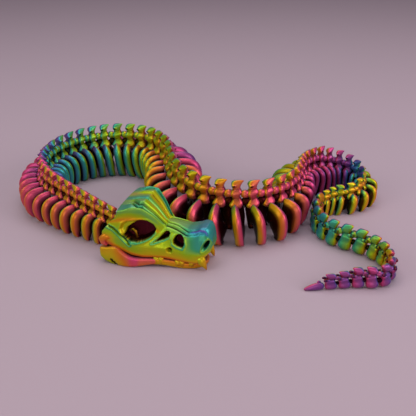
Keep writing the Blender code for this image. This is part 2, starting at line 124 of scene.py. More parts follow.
def socket(tree, node, name, value):
    """Sets a node's input, or wires another node's output to it."""
    target = node.inputs[name]
    if isinstance(value, bpy.types.NodeSocket):
        tree.links.new(value, target)
    else:
        target.default_value = value


def step(tree, operation, *values, clamp=False):
    """One arithmetic node; returns its output."""
    node = tree.nodes.new("ShaderNodeMath")
    node.operation = operation
    node.use_clamp = clamp
    for index, value in enumerate(values):
        socket(tree, node, index, value)
    return node.outputs[0]


def smooth_range(tree, value, low, high):
    """0 below low, 1 above high, smooth between."""
    node = tree.nodes.new("ShaderNodeMapRange")
    node.interpolation_type = "SMOOTHSTEP"
    socket(tree, node, "Value", value)
    socket(tree, node, "From Min", low)
    socket(tree, node, "From Max", high)
    return node.outputs["Result"]


def painted(tree, name):
    """A number that the mesh carries at each point."""
    node = tree.nodes.new("ShaderNodeAttribute")
    node.attribute_name = name
    return node.outputs["Fac"]


def blend_colours(tree, share, first, second, kind="MIX"):
    """A share of the second colour in the first."""
    node = tree.nodes.new("ShaderNodeMix")
    node.data_type = "RGBA"
    node.blend_type = kind
    socket(tree, node, 0, share)
    socket(tree, node, 6, first)
    socket(tree, node, 7, second)
    return node.outputs[2]


def silk_colour_group():
    """Place on the colour wheel, facing up, and painted shade depth in a gap, to the silk's colour."""
    tree = bpy.data.node_groups.new("silk_colour", "ShaderNodeTree")
    tree.interface.new_socket("Wheel place", in_out="INPUT", socket_type="NodeSocketFloat")
    tree.interface.new_socket("Depth", in_out="INPUT", socket_type="NodeSocketFloat")
    tree.interface.new_socket("Colour", in_out="OUTPUT", socket_type="NodeSocketColor")
    tree.interface.new_socket("Metal share", in_out="OUTPUT", socket_type="NodeSocketFloat")
    given = tree.nodes.new("NodeGroupInput")
    result = tree.nodes.new("NodeGroupOutput")
    place = tree.nodes.new("ShaderNodeTexCoord").outputs["Object"]
    drift = tree.nodes.new("ShaderNodeTexNoise")
    socket(tree, drift, "Vector", place)
    socket(tree, drift, "Scale", 90.0)
    socket(tree, drift, "Detail", 1.0)
    wander = step(tree, "MULTIPLY_ADD", drift.outputs["Fac"], WANDER, -WANDER / 2)
    wheel = tree.nodes.new("ShaderNodeValToRGB")
    wheel.color_ramp.interpolation = "LINEAR"
    stops = wheel.color_ramp.elements
    stops[0].position, stops[-1].position = SILK_WHEEL[0][0], SILK_WHEEL[-1][0]
    stops[0].color, stops[-1].color = (*SILK_WHEEL[0][1], 1), (*SILK_WHEEL[-1][1], 1)
    for spot, colour in SILK_WHEEL[1:-1]:
        stops.new(spot).color = (*colour, 1)
    wheel_place = step(tree, "ADD", given.outputs["Wheel place"], wander)
    socket(tree, wheel, "Fac", step(tree, "FRACT", wheel_place))
    # flat tops show the fine lines of the last layer, which mix to a greyer tone
    normal = tree.nodes.new("ShaderNodeSeparateXYZ")
    socket(tree, normal, 0, tree.nodes.new("ShaderNodeTexCoord").outputs["Normal"])
    top = smooth_range(tree, normal.outputs["Z"], 0.80, 0.98)
    grey = blend_colours(tree, 0.5, wheel.outputs["Color"], TOP_GREY)
    with_top = blend_colours(tree, step(tree, "MULTIPLY", top, 0.5), wheel.outputs["Color"], grey)
    # painted shade: light hardly reaches the bottom of the narrow gaps, so the colour is darkened there
    gap = smooth_range(tree, given.outputs["Depth"], 0.16, 0.80)
    painted_shade = blend_colours(tree, 1.0, with_top, GAP_PAINTED_SHADE, "MULTIPLY")
    socket(tree, result, "Colour", blend_colours(tree, gap, with_top, painted_shade))
    # more metal under the painted shade, so that the shaded bottom has no whitish gloss
    metal = step(tree, "MULTIPLY_ADD", gap, GAP_METAL - SILK_METAL, SILK_METAL)
    socket(tree, result, "Metal share", metal)
    return tree


silk_colour = silk_colour_group()


def silk_plastic(name, wheel_place):
    """Silk plastic; wheel_place(tree) gives each point's place on the colour wheel."""
    material = bpy.data.materials.new(name)
    material.use_nodes = True
    tree = material.node_tree
    shader = tree.nodes["Principled BSDF"]
    colour = tree.nodes.new("ShaderNodeGroup")
    colour.node_tree = silk_colour
    socket(tree, colour, "Wheel place", wheel_place(tree))
    # the depth attribute of each mesh is the painted shade
    socket(tree, colour, "Depth", painted(tree, "depth"))
    socket(tree, shader, "Base Color", colour.outputs["Colour"])
    socket(tree, shader, "Metallic", colour.outputs["Metal share"])
    shader.inputs["Roughness"].default_value = 0.38
    shader.inputs["Specular IOR Level"].default_value = 0.25
    # the layers of the print
    spot = tree.nodes.new("ShaderNodeSeparateXYZ")
    socket(tree, spot, 0, tree.nodes.new("ShaderNodeTexCoord").outputs["Object"])
    layer = step(tree, "SINE", step(tree, "MULTIPLY", spot.outputs["Z"], 2 * math.pi / LAYER))
    bump = tree.nodes.new("ShaderNodeBump")
    bump.inputs["Strength"].default_value = 0.25
    bump.inputs["Distance"].default_value = LAYER_RELIEF
    socket(tree, bump, "Height", layer)
    socket(tree, shader, "Normal", bump.outputs["Normal"])
    return material


def facing_place(tree):
    """Once round the wheel for one turn of the wall's facing, from the link's own start."""
    normal = tree.nodes.new("ShaderNodeSeparateXYZ")
    socket(tree, normal, 0, tree.nodes.new("ShaderNodeTexCoord").outputs["Normal"])
    # 0 where the wall faces the viewer, positive to the right, half a turn at the back
    to_viewer = step(tree, "MULTIPLY", normal.outputs["Y"], -1.0)
    turn = step(tree, "DIVIDE", step(tree, "ARCTAN2", normal.outputs["X"], to_viewer), 2 * math.pi)
    return step(tree, "ADD", step(tree, "ADD", turn, painted(tree, "drift")), painted(tree, "tint"))


def skull_place(tree):
    """The skull's own bands, with a small share of the facing."""
    normal = tree.nodes.new("ShaderNodeSeparateXYZ")
    socket(tree, normal, 0, tree.nodes.new("ShaderNodeTexCoord").outputs["Normal"])
    return step(tree, "MULTIPLY_ADD", normal.outputs["X"], 0.05, painted(tree, "drift"))


chain_silk = silk_plastic("chain_silk", facing_place)
skull_silk = silk_plastic("skull_silk", skull_place)

# ---- The chain's course --------------------------------------------------------------------
# Seventy-four links hang together, ball in socket, from the skull to the tip of the tail.
# They lie in two coils; the sizes here are those of the solid model, in millimetres.
FIRST_LINK = (-43.8, -39.5)
FIRST_HEADING = 140.9
# number of links, turn in degrees at each, and spacing
RUNS = (
    (7, -0.7, 7.2), (6, -8.9, 6.1), (6, -11.5, 8.0), (5, -14.7, 8.9), (3, -7.7, 9.4),
    (3, 7.2, 9.5), (9, 14.4, 8.8), (2, 4.2, 7.9), (5, -12.5, 6.2), (6, -24.9, 6.3),
    (2, -17.4, 6.9), (2, 15.4, 5.0), (6, 18.6, 7.5), (2, -11.2, 8.1), (3, -19.9, 6.5),
    (2, -37.7, 6.7), (2, 7.1, 6.6), (2, -1.1, 6.6),
)
# link, and height of the spine's top there
SPINE_HEIGHTS = ((0, 24.5), (8, 29.8), (25, 35.7), (45, 30.7), (50, 22.1), (53, 18.6),
                 (57, 16.3), (61, 14.4), (68, 11.3), (70, 10.2), (73, 4.4))
# the lengths and their numbers of links
LENGTHS = (
    ("neck", 7), ("trunk_1", 7), ("trunk_2", 7), ("trunk_3", 7), ("trunk_4", 7), ("trunk_5", 6),
    ("trunk_6", 5), ("trunk_7", 5), ("trunk_8", 6), ("tail_1", 6), ("tail_2", 6), ("tail_3", 5),
)
# place on the colour wheel of the walls that face the viewer, at some links
SPINE_START = (
    (0, 0.15), (8, 0.21), (10, 0.30), (12, 0.65), (14, 0.71), (18, 0.79), (20, 0.91), (22, 1.03),
    (24, 1.12), (26, 1.16), (32, 1.15), (38, 1.17), (41, 1.22), (44, 1.28), (46, 1.38), (48, 1.58),
    (49, 1.80), (52, 1.98), (56, 1.97), (58, 1.95), (62, 1.95), (65, 2.10), (67, 2.42), (73, 2.50),
)
RIB_START = (
    (0, 0.10), (4, 0.12), (6, 0.15), (8, 0.23), (10, 0.36), (11, 0.50), (12, 0.62), (14, 0.66),
    (17, 0.71), (19, 0.77), (21, 0.86), (23, 0.96), (25, 1.06), (28, 1.13), (34, 1.15), (38, 1.20),
    (41, 1.30), (44, 1.38), (46, 1.45), (48, 1.62), (49, 1.84), (51, 2.00), (56, 1.92),
)
# further shift of the left ribs, where they stand on the far side of a coil
LEFT_SHIFT = (
    (8, 0.0), (10, -0.08), (12, -0.20), (15, -0.25), (17, 0.0), (19, 0.26), (25, 0.28), (27, 0.0),
    (39, 0.0), (41, -0.24), (45, -0.20), (47, 0.0),
)
# how soon painted shade darkens the flanks of the ribs
RIB_SHADE = ((0, 1.0), (10, 1.1), (14, 1.5), (24, 1.7), (28, 2.0), (38, 1.8), (56, 1.6))


def read_table(rows, place):
    """Reads a table of places and values, with the values between worked out."""
    return np.interp(place, *zip(*rows))


def at_link(rows, index):
    """The value of a table at one link."""
    return float(read_table(rows, index))


def lay_course():
    """Place, heading, turn, spacing, height and colour of every link."""
    steps = [(turn, gap) for count, turn, gap in RUNS for _ in range(count)]
    x, y = FIRST_LINK
    heading = FIRST_HEADING
    links = []
    for index in range(len(steps) + 1):
        before = steps[max(index - 1, 0)]
        after = steps[min(index, len(steps) - 1)]
        links.append({
            "index": index, "x": x, "y": y, "heading": heading,
            "turn": (before[0] + after[0]) / 2, "spacing": (before[1] + after[1]) / 2,
            "height": at_link(SPINE_HEIGHTS, index), "drift": at_link(SPINE_START, index),
            "beside": (before, after),
        })
        if index < len(steps):
            turn, gap = steps[index]
            way = math.radians(heading + turn / 2)
            x += gap * math.cos(way)
            y += gap * math.sin(way)
            heading += turn
    return links


course = lay_course()
# behind this link come the plain links of the tail
LAST_RIBBED = 56
length_links = {}
for length_name, count in LENGTHS:
    first = sum(len(links) for links in length_links.values())
    length_links[length_name] = course[first:first + count]

# ---- Vertebrae of neck and trunk -----------------------------------------------------------
# Each vertebra is one printed lump: a cap with hollow sides on a narrow waist, a body with
# two lips, side knobs over the ribs, and a ball in front that sits in the link before it.
# The tables are in millimetres, for a link of this spacing and height.
MM = 0.001
FULL_SPACING, FULL_HEIGHT = 9.0, 34.0
# height, front, rear, half width in front, in the middle and behind, and how much shade is painted on
# it
VERTEBRA_ROWS = (
    (16.6, -0.9, 1.9, 0.8, 1.4, 1.0, 1.0),
    (17.6, -2.3, 2.9, 2.6, 3.0, 2.3, 0.8),
    (19.2, -4.0, 3.4, 3.8, 4.6, 3.3, 0.0),
    (20.6, -3.7, 3.9, 3.8, 4.4, 3.3, 0.0),
    (22.0, -2.4, 3.5, 3.2, 2.9, 2.6, 0.3),
    (23.4, -1.8, 2.2, 2.4, 1.8, 1.6, 0.55),
    (24.8, -2.4, 1.9, 3.1, 2.1, 1.7, 0.3),
    (26.0, -3.2, 2.6, 3.7, 2.8, 2.3, 0.0),
    (27.2, -2.9, 3.2, 3.2, 2.7, 2.4, 0.0),
    (28.2, -2.2, 2.6, 2.4, 2.0, 1.5, 0.4),
    (29.2, -2.0, 2.0, 2.1, 1.7, 1.2, 0.45),
    (30.3, -2.6, 2.0, 2.5, 2.0, 1.3, 0.0),
    (31.8, -2.9, 2.6, 2.4, 2.0, 1.2, 0.0),
    (33.1, -2.3, 3.5, 1.6, 1.3, 0.6, 0.0),
    (34.0, -0.6, 4.3, 0.5, 0.4, 0.2, 0.0),
)
CAP_FROM = 29.5
# the caps are yellower than the bodies, by this step on the colour wheel
CAP_TINT = -0.06
# the hollow in each side of the cap: its rows of the table, rim and depth
CAP_HOLLOW, HOLLOW_RIM, HOLLOW_DEPTH = (11, 12), 0.4, 1.0
# the ball in front and the neck below it, which has painted shade: centre and radius, and where their
# stalks end
BALL, NECK_BALL, STALK_END = ((-4.6, 0.0, 26.0), 2.2), ((-3.9, 0.0, 21.2), 2.5), -1.6
# how far a cage's middle corners stand out in front and behind
CROWN = 0.15


def tube_faces(rings, around, start=0):
    """Faces of a closed tube of rings: the first end, the wall ring by ring, and the last end."""
    wall = [(start + r * around + i, start + r * around + (i + 1) % around,
             start + (r + 1) * around + (i + 1) % around, start + (r + 1) * around + i)
            for r in range(rings - 1) for i in range(around)]
    last = start + (rings - 1) * around
    return [tuple(range(start + around - 1, start - 1, -1)), *wall, tuple(range(last, last + around))]


def loft(rows, name, cap_from, cap_tint):
    """A closed cage through rows of eight corners, with an amount of painted shade given at each
    corner.
    """
    points, corner_shades, tints = [], [], []
    for up, front, rear, wide_front, wide_middle, wide_rear, painted_shade in rows:
        left = ((front, wide_front), ((front + rear) / 2, wide_middle), (rear, wide_rear))
        right = [(x, -y) for x, y in reversed(left)]
        for x, y in ((front - CROWN, 0), *left, (rear + CROWN, 0), *right):
            points.append((x * MM, y * MM, up * MM))
            corner_shades.append(painted_shade)
            tints.append(cap_tint if up > cap_from else 0.0)
    mesh = bpy.data.meshes.new(name)
    mesh.from_pydata(points, [], tube_faces(len(rows), 8))
    mesh.attributes.new("depth", "FLOAT", "POINT").data.foreach_set("value", corner_shades)
    mesh.attributes.new("tint", "FLOAT", "POINT").data.foreach_set("value", tints)
    return mesh


# place along and half width of a ball's rings, in radii
BALL_RINGS = ((-1.0, 0.25), (-0.85, 0.72), (-0.3, 1.05), (0.35, 1.05), (0.9, 0.86), (1.35, 0.82))
# share of width of a stalk, how much higher than wide a ball is, and the painted shade on a stalk
STALK_WIDTH, BALL_RISE, STALK_PAINTED_SHADE = 0.95, 1.15, 0.6


def add_ball(mesh, centre, radius, stalk_end, painted_shade=0.0, stalk_painted_shade=STALK_PAINTED_SHADE):
    """A ball on a short stalk, a little higher than wide, as one more shell of the mesh, with painted
    shade on ball and stalk.
    """
    bm = bmesh.new()
    bm.from_mesh(mesh)
    depth = bm.verts.layers.float["depth"]
    stalk_ring = ((stalk_end - centre[0]) / radius, STALK_WIDTH)
    rings = []
    for along, wide in (*BALL_RINGS, stalk_ring):
        ring = []
        for k in range(8):
            turn = math.pi * (k + 0.5) / 4
            out = radius * wide
            vert = bm.verts.new(((centre[0] + radius * along) * MM,
                                 (centre[1] + out * math.cos(turn)) * MM,
                                 (centre[2] + BALL_RISE * out * math.sin(turn)) * MM))
            vert[depth] = painted_shade if along < 1.0 else stalk_painted_shade
            ring.append(vert)
        rings.append(ring)
    for ring, after in zip(rings, rings[1:]):
        for k in range(8):
            bm.faces.new((ring[k - 1], after[k - 1], after[k], ring[k]))
    bm.faces.new(rings[0])
    bm.faces.new(rings[-1])
    bmesh.ops.recalc_face_normals(bm, faces=bm.faces)
    bm.to_mesh(mesh)
    bm.free()


def hollow_sides(mesh, low_row, high_row, rim, deep):
    """Sinks a panel into both side faces between two rows of a cage, with full painted shade in it."""
    bm = bmesh.new()
    bm.from_mesh(mesh)
    bm.faces.ensure_lookup_table()
    depth = bm.verts.layers.float["depth"]
    left_and_right = (1, 6)
    panels = [[bm.faces[1 + row * 8 + corner] for row in range(low_row, high_row)]
              for corner in left_and_right]
    for panel in panels:
        bmesh.ops.inset_region(bm, faces=panel, thickness=rim * MM, depth=-deep * MM,
                               use_even_offset=True)
        for face in panel:
            for vert in face.verts:
                vert[depth] = 1.0
    bm.to_mesh(mesh)
    bm.free()


def rounded(mesh, levels, name):
    """The cage smoothed by subdivision, as a plain mesh."""
    holder = bpy.data.objects.new(name, mesh)
    bpy.context.scene.collection.objects.link(holder)
    smoothing = holder.modifiers.new("smoothing", "SUBSURF")
    smoothing.levels = smoothing.render_levels = levels
    view = bpy.context.evaluated_depsgraph_get()
    holder.data = bpy.data.meshes.new_from_object(holder.evaluated_get(view),
                                                  preserve_all_data_layers=True, depsgraph=view)
    holder.modifiers.clear()
    holder.data.shade_smooth()
    bpy.context.scene.collection.objects.unlink(holder)
    return holder


vertebra_cage = loft(VERTEBRA_ROWS, "vertebra_cage", CAP_FROM, CAP_TINT)
hollow_sides(vertebra_cage, *CAP_HOLLOW, HOLLOW_RIM, HOLLOW_DEPTH)
add_ball(vertebra_cage, *BALL, STALK_END)
add_ball(vertebra_cage, *NECK_BALL, STALK_END, painted_shade=1.0)
vertebra_shape = rounded(vertebra_cage, 2, "vertebra_shape")


def named_value(tree, name, kind="FLOAT"):
    """A number or vector that each point carries into a node tree."""
    node = tree.nodes.new("GeometryNodeInputNamedAttribute")
    node.data_type = kind
    node.inputs["Name"].default_value = name
    return next(s for s in node.outputs if s.name == "Attribute" and s.enabled)


def link_repeat_tree():
    """Sets one shape at every link, turned to its heading and scaled to its size."""
    tree = bpy.data.node_groups.new("links_on_course", "GeometryNodeTree")
    face = tree.interface
    face.new_socket("Links", in_out="INPUT", socket_type="NodeSocketGeometry")
    face.new_socket("Shape", in_out="INPUT", socket_type="NodeSocketObject")
    face.new_socket("Silk", in_out="INPUT", socket_type="NodeSocketMaterial")
    face.new_socket("Bones", in_out="OUTPUT", socket_type="NodeSocketGeometry")
    given = tree.nodes.new("NodeGroupInput")
    result = tree.nodes.new("NodeGroupOutput")
    shape = tree.nodes.new("GeometryNodeObjectInfo")
    socket(tree, shape, "Object", given.outputs["Shape"])
    turn = tree.nodes.new("ShaderNodeCombineXYZ")
    socket(tree, turn, "Z", named_value(tree, "heading"))
    copies = tree.nodes.new("GeometryNodeInstanceOnPoints")
    socket(tree, copies, "Points", given.outputs["Links"])
    socket(tree, copies, "Instance", shape.outputs["Geometry"])
    socket(tree, copies, "Rotation", turn.outputs[0])
    socket(tree, copies, "Scale", named_value(tree, "size", "FLOAT_VECTOR"))
    solid = tree.nodes.new("GeometryNodeRealizeInstances")
    socket(tree, solid, "Geometry", copies.outputs["Instances"])
    silk = tree.nodes.new("GeometryNodeSetMaterial")
    socket(tree, silk, "Geometry", solid.outputs["Geometry"])
    socket(tree, silk, "Material", given.outputs["Silk"])
    socket(tree, result, "Bones", silk.outputs["Geometry"])
    return tree


def points_with(name, places, values):
    """Loose points that carry named numbers or vectors."""
    mesh = bpy.data.meshes.new(name)
    mesh.from_pydata(places, [], [])
    for key, rows in values.items():
        if np.ndim(rows[0]):
            data = mesh.attributes.new(key, "FLOAT_VECTOR", "POINT").data
            data.foreach_set("vector", np.array(rows, dtype=float).ravel())
        else:
            data = mesh.attributes.new(key, "FLOAT", "POINT").data
            data.foreach_set("value", rows)
    holder = bpy.data.objects.new(name, mesh)
    bpy.context.scene.collection.objects.link(holder)
    return holder


def grown(holder, tree, inputs):
    """Runs a node tree on an object and leaves the result as its plain mesh."""
    growth = holder.modifiers.new("growth", "NODES")
    growth.node_group = tree
    sockets = {s.name: s.identifier for s in tree.interface.items_tree
               if s.item_type == "SOCKET" and s.in_out == "INPUT"}
    for name, value in inputs.items():
        growth[sockets[name]] = value
    view = bpy.context.evaluated_depsgraph_get()
    mesh = bpy.data.meshes.new_from_object(holder.evaluated_get(view),
                                           preserve_all_data_layers=True, depsgraph=view)
    holder.modifiers.clear()
    holder.data = mesh
    mesh.shade_smooth()
    return holder


link_repeat = link_repeat_tree()

# how much deeper and wider a vertebra is than its share of the height
SPINE_DEPTH = ((0, 1.0), (45, 1.0), (50, 1.12), (56, 1.20))
SPINE_WIDTH = ((6, 1.0), (9, 1.15), (18, 1.15), (22, 1.0), (48, 1.0), (50, 1.25))
# ... and longer than its share of the spacing
SPINE_LENGTH = ((0, 1.10), (10, 1.10), (14, 1.0), (46, 1.0), (50, 1.15), (56, 1.15))


def set_bones(name, node, links, shape):
    """One mesh of all the vertebrae of a length."""
    places, sizes = [], []
    for k in links:
        deeper = at_link(SPINE_DEPTH, k["index"])
        places.append((k["x"] * MM, k["y"] * MM, k["height"] * MM * (1.0 - deeper)))
        sizes.append((at_link(SPINE_LENGTH, k["index"]) * k["spacing"] / FULL_SPACING,
                      at_link(SPINE_WIDTH, k["index"]) * k["height"] / FULL_HEIGHT,
                      deeper * k["height"] / FULL_HEIGHT))
    holder = points_with(name, places, {
        "heading": [math.radians(k["heading"]) for k in links],
        "size": sizes,
        "drift": [k["drift"] for k in links],
    })
    grown(holder, link_repeat, {"Shape": shape, "Silk": chain_silk})
    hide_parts(node)
    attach(holder, node)


for length_name, links in length_links.items():
    ribbed = [k for k in links if k["index"] <= LAST_RIBBED]
    if ribbed:
        set_bones("vertebrae_" + length_name, length_name, ribbed, vertebra_shape)

# ---- Ribs ----------------------------------------------------------------------------------
# A rib is a deep blade with a rounded outer edge. It starts under the vertebra's knob, arches
# out and down, and ends in a flat foot on the table that runs inward under the body.
# how far out the ribs reach and how far they lean to the left, as shares, at some links
RIB_SPREAD = (
    (0, 0.0), (1, 0.50), (2, 0.62), (4, 0.85), (8, 0.98), (10, 0.92), (15, 0.93), (18, 1.0),
    (36, 1.0), (38, 0.84), (41, 0.84), (44, 0.97), (50, 0.8), (56, 0.5),
)
RIB_LEAN = (
    (0, 0.0), (19, 0.0), (23, 0.04), (28, 0.03), (31, 0.0), (36, 0.03), (39, 0.16), (42, 0.15),
    (46, 0.02), (50, 0.0),
)
# steps along the blade, which lie closer to each other at its root
BLADE_STEPS, STEP_POWER = 22, 1.15
# across the blade: share of its half thickness there, and share of its depth from the outer edge
BLADE_SECTION = (
    (-0.94, 1.0), (-1.0, 0.8), (-1.0, 0.6), (-1.0, 0.4), (-1.0, 0.24), (-0.95, 0.165), (-0.30, 0.015),
    (-0.16, 0.0), (0.16, 0.0), (0.30, 0.015), (0.95, 0.165), (1.0, 0.24), (1.0, 0.4), (1.0, 0.6),
    (1.0, 0.8), (0.94, 1.0), (0.0, 1.02),
)


def blade_template():
    """A tube of faces whose x, y and z are the place along, across and into the blade."""
    points = [((row / BLADE_STEPS) ** STEP_POWER, across, into)
              for row in range(BLADE_STEPS + 1) for across, into in BLADE_SECTION]
    faces = [face[::-1] for face in tube_faces(BLADE_STEPS + 1, len(BLADE_SECTION))]
    mesh = bpy.data.meshes.new("blade_template")
    mesh.from_pydata(points, [], faces)
    return bpy.data.objects.new("blade_template", mesh)


# shares of the rib's length: where it leaves the vertebra, where its foot begins and where the
# foot lies flat, and how much less deep the foot is
RIB_LEAVES, FOOT_BEGINS, FOOT_FLAT, FOOT_THINNER = 0.04, 0.72, 0.97, 0.45


def rib_tree():
    """Bends one blade along every rib's curve, from the numbers that its point carries."""
    tree = bpy.data.node_groups.new("ribs_on_links", "GeometryNodeTree")
    face = tree.interface
    face.new_socket("Ribs", in_out="INPUT", socket_type="NodeSocketGeometry")
    face.new_socket("Blade", in_out="INPUT", socket_type="NodeSocketObject")
    for name in ("Root", "Shoulder", "Knee", "Toe"):
        face.new_socket(name, in_out="INPUT", socket_type="NodeSocketVector")
    for name in ("Sweep at root", "Sweep at foot", "Least gap", "Least inner gap", "Head", "Widest"):
        face.new_socket(name, in_out="INPUT", socket_type="NodeSocketFloat")
    face.new_socket("Silk", in_out="INPUT", socket_type="NodeSocketMaterial")
    face.new_socket("Blades", in_out="OUTPUT", socket_type="NodeSocketGeometry")
    given = tree.nodes.new("NodeGroupInput")
    result = tree.nodes.new("NodeGroupOutput")

    def times(a, b):
        return step(tree, "MULTIPLY", a, b)

    def times_plus(a, b, c):
        return step(tree, "MULTIPLY_ADD", a, b, c)

    def minus(a, b):
        return step(tree, "SUBTRACT", a, b)

    blade = tree.nodes.new("GeometryNodeObjectInfo")
    socket(tree, blade, "Object", given.outputs["Blade"])
    copies = tree.nodes.new("GeometryNodeInstanceOnPoints")
    socket(tree, copies, "Points", given.outputs["Ribs"])
    socket(tree, copies, "Instance", blade.outputs["Geometry"])
    solid = tree.nodes.new("GeometryNodeRealizeInstances")
    socket(tree, solid, "Geometry", copies.outputs["Instances"])

    spot = tree.nodes.new("ShaderNodeSeparateXYZ")
    socket(tree, spot, 0, tree.nodes.new("GeometryNodeInputPosition").outputs[0])
    along, across, into = spot.outputs[0], spot.outputs[1], spot.outputs[2]

    # the rib's outer curve, in shares of the link's height: x to the side, y up
    curve = tree.nodes.new("GeometryNodeCurvePrimitiveBezierSegment")
    curve.mode = "POSITION"
    socket(tree, curve, "Resolution", 48)
    for entry, name in (("Start", "Root"), ("Start Handle", "Shoulder"), ("End Handle", "Knee"),
                        ("End", "Toe")):
        socket(tree, curve, entry, given.outputs[name])
    reading = tree.nodes.new("GeometryNodeSampleCurve")
    reading.mode = "FACTOR"
    socket(tree, reading, "Curves", curve.outputs["Curve"])
    socket(tree, reading, "Factor", times_plus(along, 1.0 - RIB_LEAVES, RIB_LEAVES))
    place = tree.nodes.new("ShaderNodeSeparateXYZ")
    socket(tree, place, 0, reading.outputs["Position"])
    curve_way = tree.nodes.new("ShaderNodeSeparateXYZ")
    socket(tree, curve_way, 0, reading.outputs["Tangent"])

    height = named_value(tree, "height")
    spread = named_value(tree, "spread")
    lean = times(named_value(tree, "lean"), step(tree, "MULTIPLY", along, 1.5, clamp=True))
    reach = step(tree, "ADD", times(times(place.outputs[0], spread), height), lean)
    up = times(place.outputs[1], height)
    # inward, square to the curve; level with the table at the foot
    foot = smooth_range(tree, along, FOOT_BEGINS, FOOT_FLAT)
    in_side = curve_way.outputs[1]
    in_up = times(curve_way.outputs[0], times(spread, -1.0))
    size = step(tree, "SQRT", step(tree, "ADD", times(in_side, in_side), times(in_up, in_up)))
    above_foot = minus(1.0, foot)
    in_side = minus(times(step(tree, "DIVIDE", in_side, size), above_foot), foot)
    in_up = times(step(tree, "DIVIDE", in_up, size), above_foot)
    # rounded head at the top, full depth and thickness a little further down
    head = step(tree, "DIVIDE", along, given.outputs["Head"], clamp=True)
    tip = step(tree, "SQRT", minus(1.0, step(tree, "POWER", minus(1.0, head), 2.0)))
    full = step(tree, "DIVIDE", along, given.outputs["Widest"], clamp=True)
    narrow = times(times_plus(full, 0.2, 0.8), times_plus(tip, 0.7, 0.3))
    depth = times(named_value(tree, "depth_size"), times_plus(tip, 0.5, 0.5))
    depth = times(depth, times_plus(foot, -FOOT_THINNER, 1.0))
    deep = times(depth, into)
    reach_in = times_plus(in_side, deep, reach)
    up_in = step(tree, "MAXIMUM", times_plus(in_up, deep, up), 0.0)
    # thickness, with the least gap to the next rib inside a bend
    room = minus(named_value(tree, "spacing"), times(named_value(tree, "closing"), reach))
    thick = step(tree, "MINIMUM", named_value(tree, "thickness"),
                 minus(room, given.outputs["Least gap"]))
    # its flanks flare inward, as far as the neighbours allow
    inner_room = minus(named_value(tree, "inner_gap"),
                       times(named_value(tree, "inner_closing"), reach_in))
    wide = step(tree, "MINIMUM", named_value(tree, "inner_thickness"),
                minus(inner_room, given.outputs["Least inner gap"]))
    flare = times(smooth_range(tree, into, 0.10, 0.95), above_foot)
    extra = step(tree, "MAXIMUM", minus(wide, thick), 0.0)
    thick = times_plus(extra, flare, thick)
    half = times(times(thick, 0.5), narrow)
    sweep = tree.nodes.new("ShaderNodeMapRange")
    socket(tree, sweep, "Value", along)
    socket(tree, sweep, "To Min", given.outputs["Sweep at root"])
    socket(tree, sweep, "To Max", given.outputs["Sweep at foot"])
    back = times_plus(across, half, times(sweep.outputs["Result"], named_value(tree, "sweep_share")))

    def moved(spot, way, amount):
        """A spot, moved some way."""
        move = tree.nodes.new("ShaderNodeVectorMath")
        move.operation = "SCALE"
        socket(tree, move, 0, way)
        socket(tree, move, "Scale", amount)
        total = tree.nodes.new("ShaderNodeVectorMath")
        total.operation = "ADD"
        socket(tree, total, 0, spot)
        socket(tree, total, 1, move.outputs[0])
        return total.outputs[0]

    target = moved(named_value(tree, "origin", "FLOAT_VECTOR"),
                   named_value(tree, "back_way", "FLOAT_VECTOR"), back)
    target = moved(target, named_value(tree, "out_way", "FLOAT_VECTOR"), reach_in)
    target = moved(target, (0.0, 0.0, 1.0), up_in)
    # painted shade, growing deeper into the blade and scaled by the link's shade, kept as its depth
    # attribute
    marked = tree.nodes.new("GeometryNodeStoreNamedAttribute")
    marked.data_type = "FLOAT"
    marked.domain = "POINT"
    socket(tree, marked, "Geometry", solid.outputs["Geometry"])
    socket(tree, marked, "Name", "depth")
    number = next(i for i, s in enumerate(marked.inputs) if s.name == "Value" and s.enabled)
    socket(tree, marked, number, times(into, named_value(tree, "shade")))
    bent = tree.nodes.new("GeometryNodeSetPosition")
    socket(tree, bent, "Geometry", marked.outputs["Geometry"])
    socket(tree, bent, "Position", target)
    whole = tree.nodes.new("GeometryNodeRealizeInstances")
    socket(tree, whole, "Geometry", bent.outputs["Geometry"])
    silk = tree.nodes.new("GeometryNodeSetMaterial")
    socket(tree, silk, "Geometry", whole.outputs["Geometry"])
    socket(tree, silk, "Material", given.outputs["Silk"])
    socket(tree, result, "Blades", silk.outputs["Geometry"])
    return tree


blade = blade_template()
ribs_on_links = rib_tree()
# curve of the outer edge in shares of the height, and sizes in metres or in shares of the rib
RIB_SHAPE = {
    "Root": (0.08, 0.62, 0.0), "Shoulder": (0.73, 0.73, 0.0), "Knee": (0.50, 0.06, 0.0),
    "Toe": (0.36, 0.0, 0.0), "Sweep at root": -0.0006, "Sweep at foot": 0.0028,
    "Least gap": 0.0009, "Least inner gap": 0.0003, "Head": 0.06, "Widest": 0.40,
}
# shares of the height: depth of a blade, how far out neighbours are compared, and how far out
# a blade on the outside of a bend finds more room
RIB_DEPTH, COMPARED_AT, WIDER_AT = 0.26, 0.3, 0.32
# shares of the spacing: thickness at the outer edge, inside, and inside beside a hinge
RIB_THICKNESS, INNER_THICKNESS, BY_HINGE_THICKNESS = 0.52, 0.97, 0.80
# what each degree of bend takes from the inner ribs' reach and adds to the outer ribs'
DRAWN_IN, SPREAD_OUT = 0.017, 0.006
FULL_SWEEP_HEIGHT = 30.0


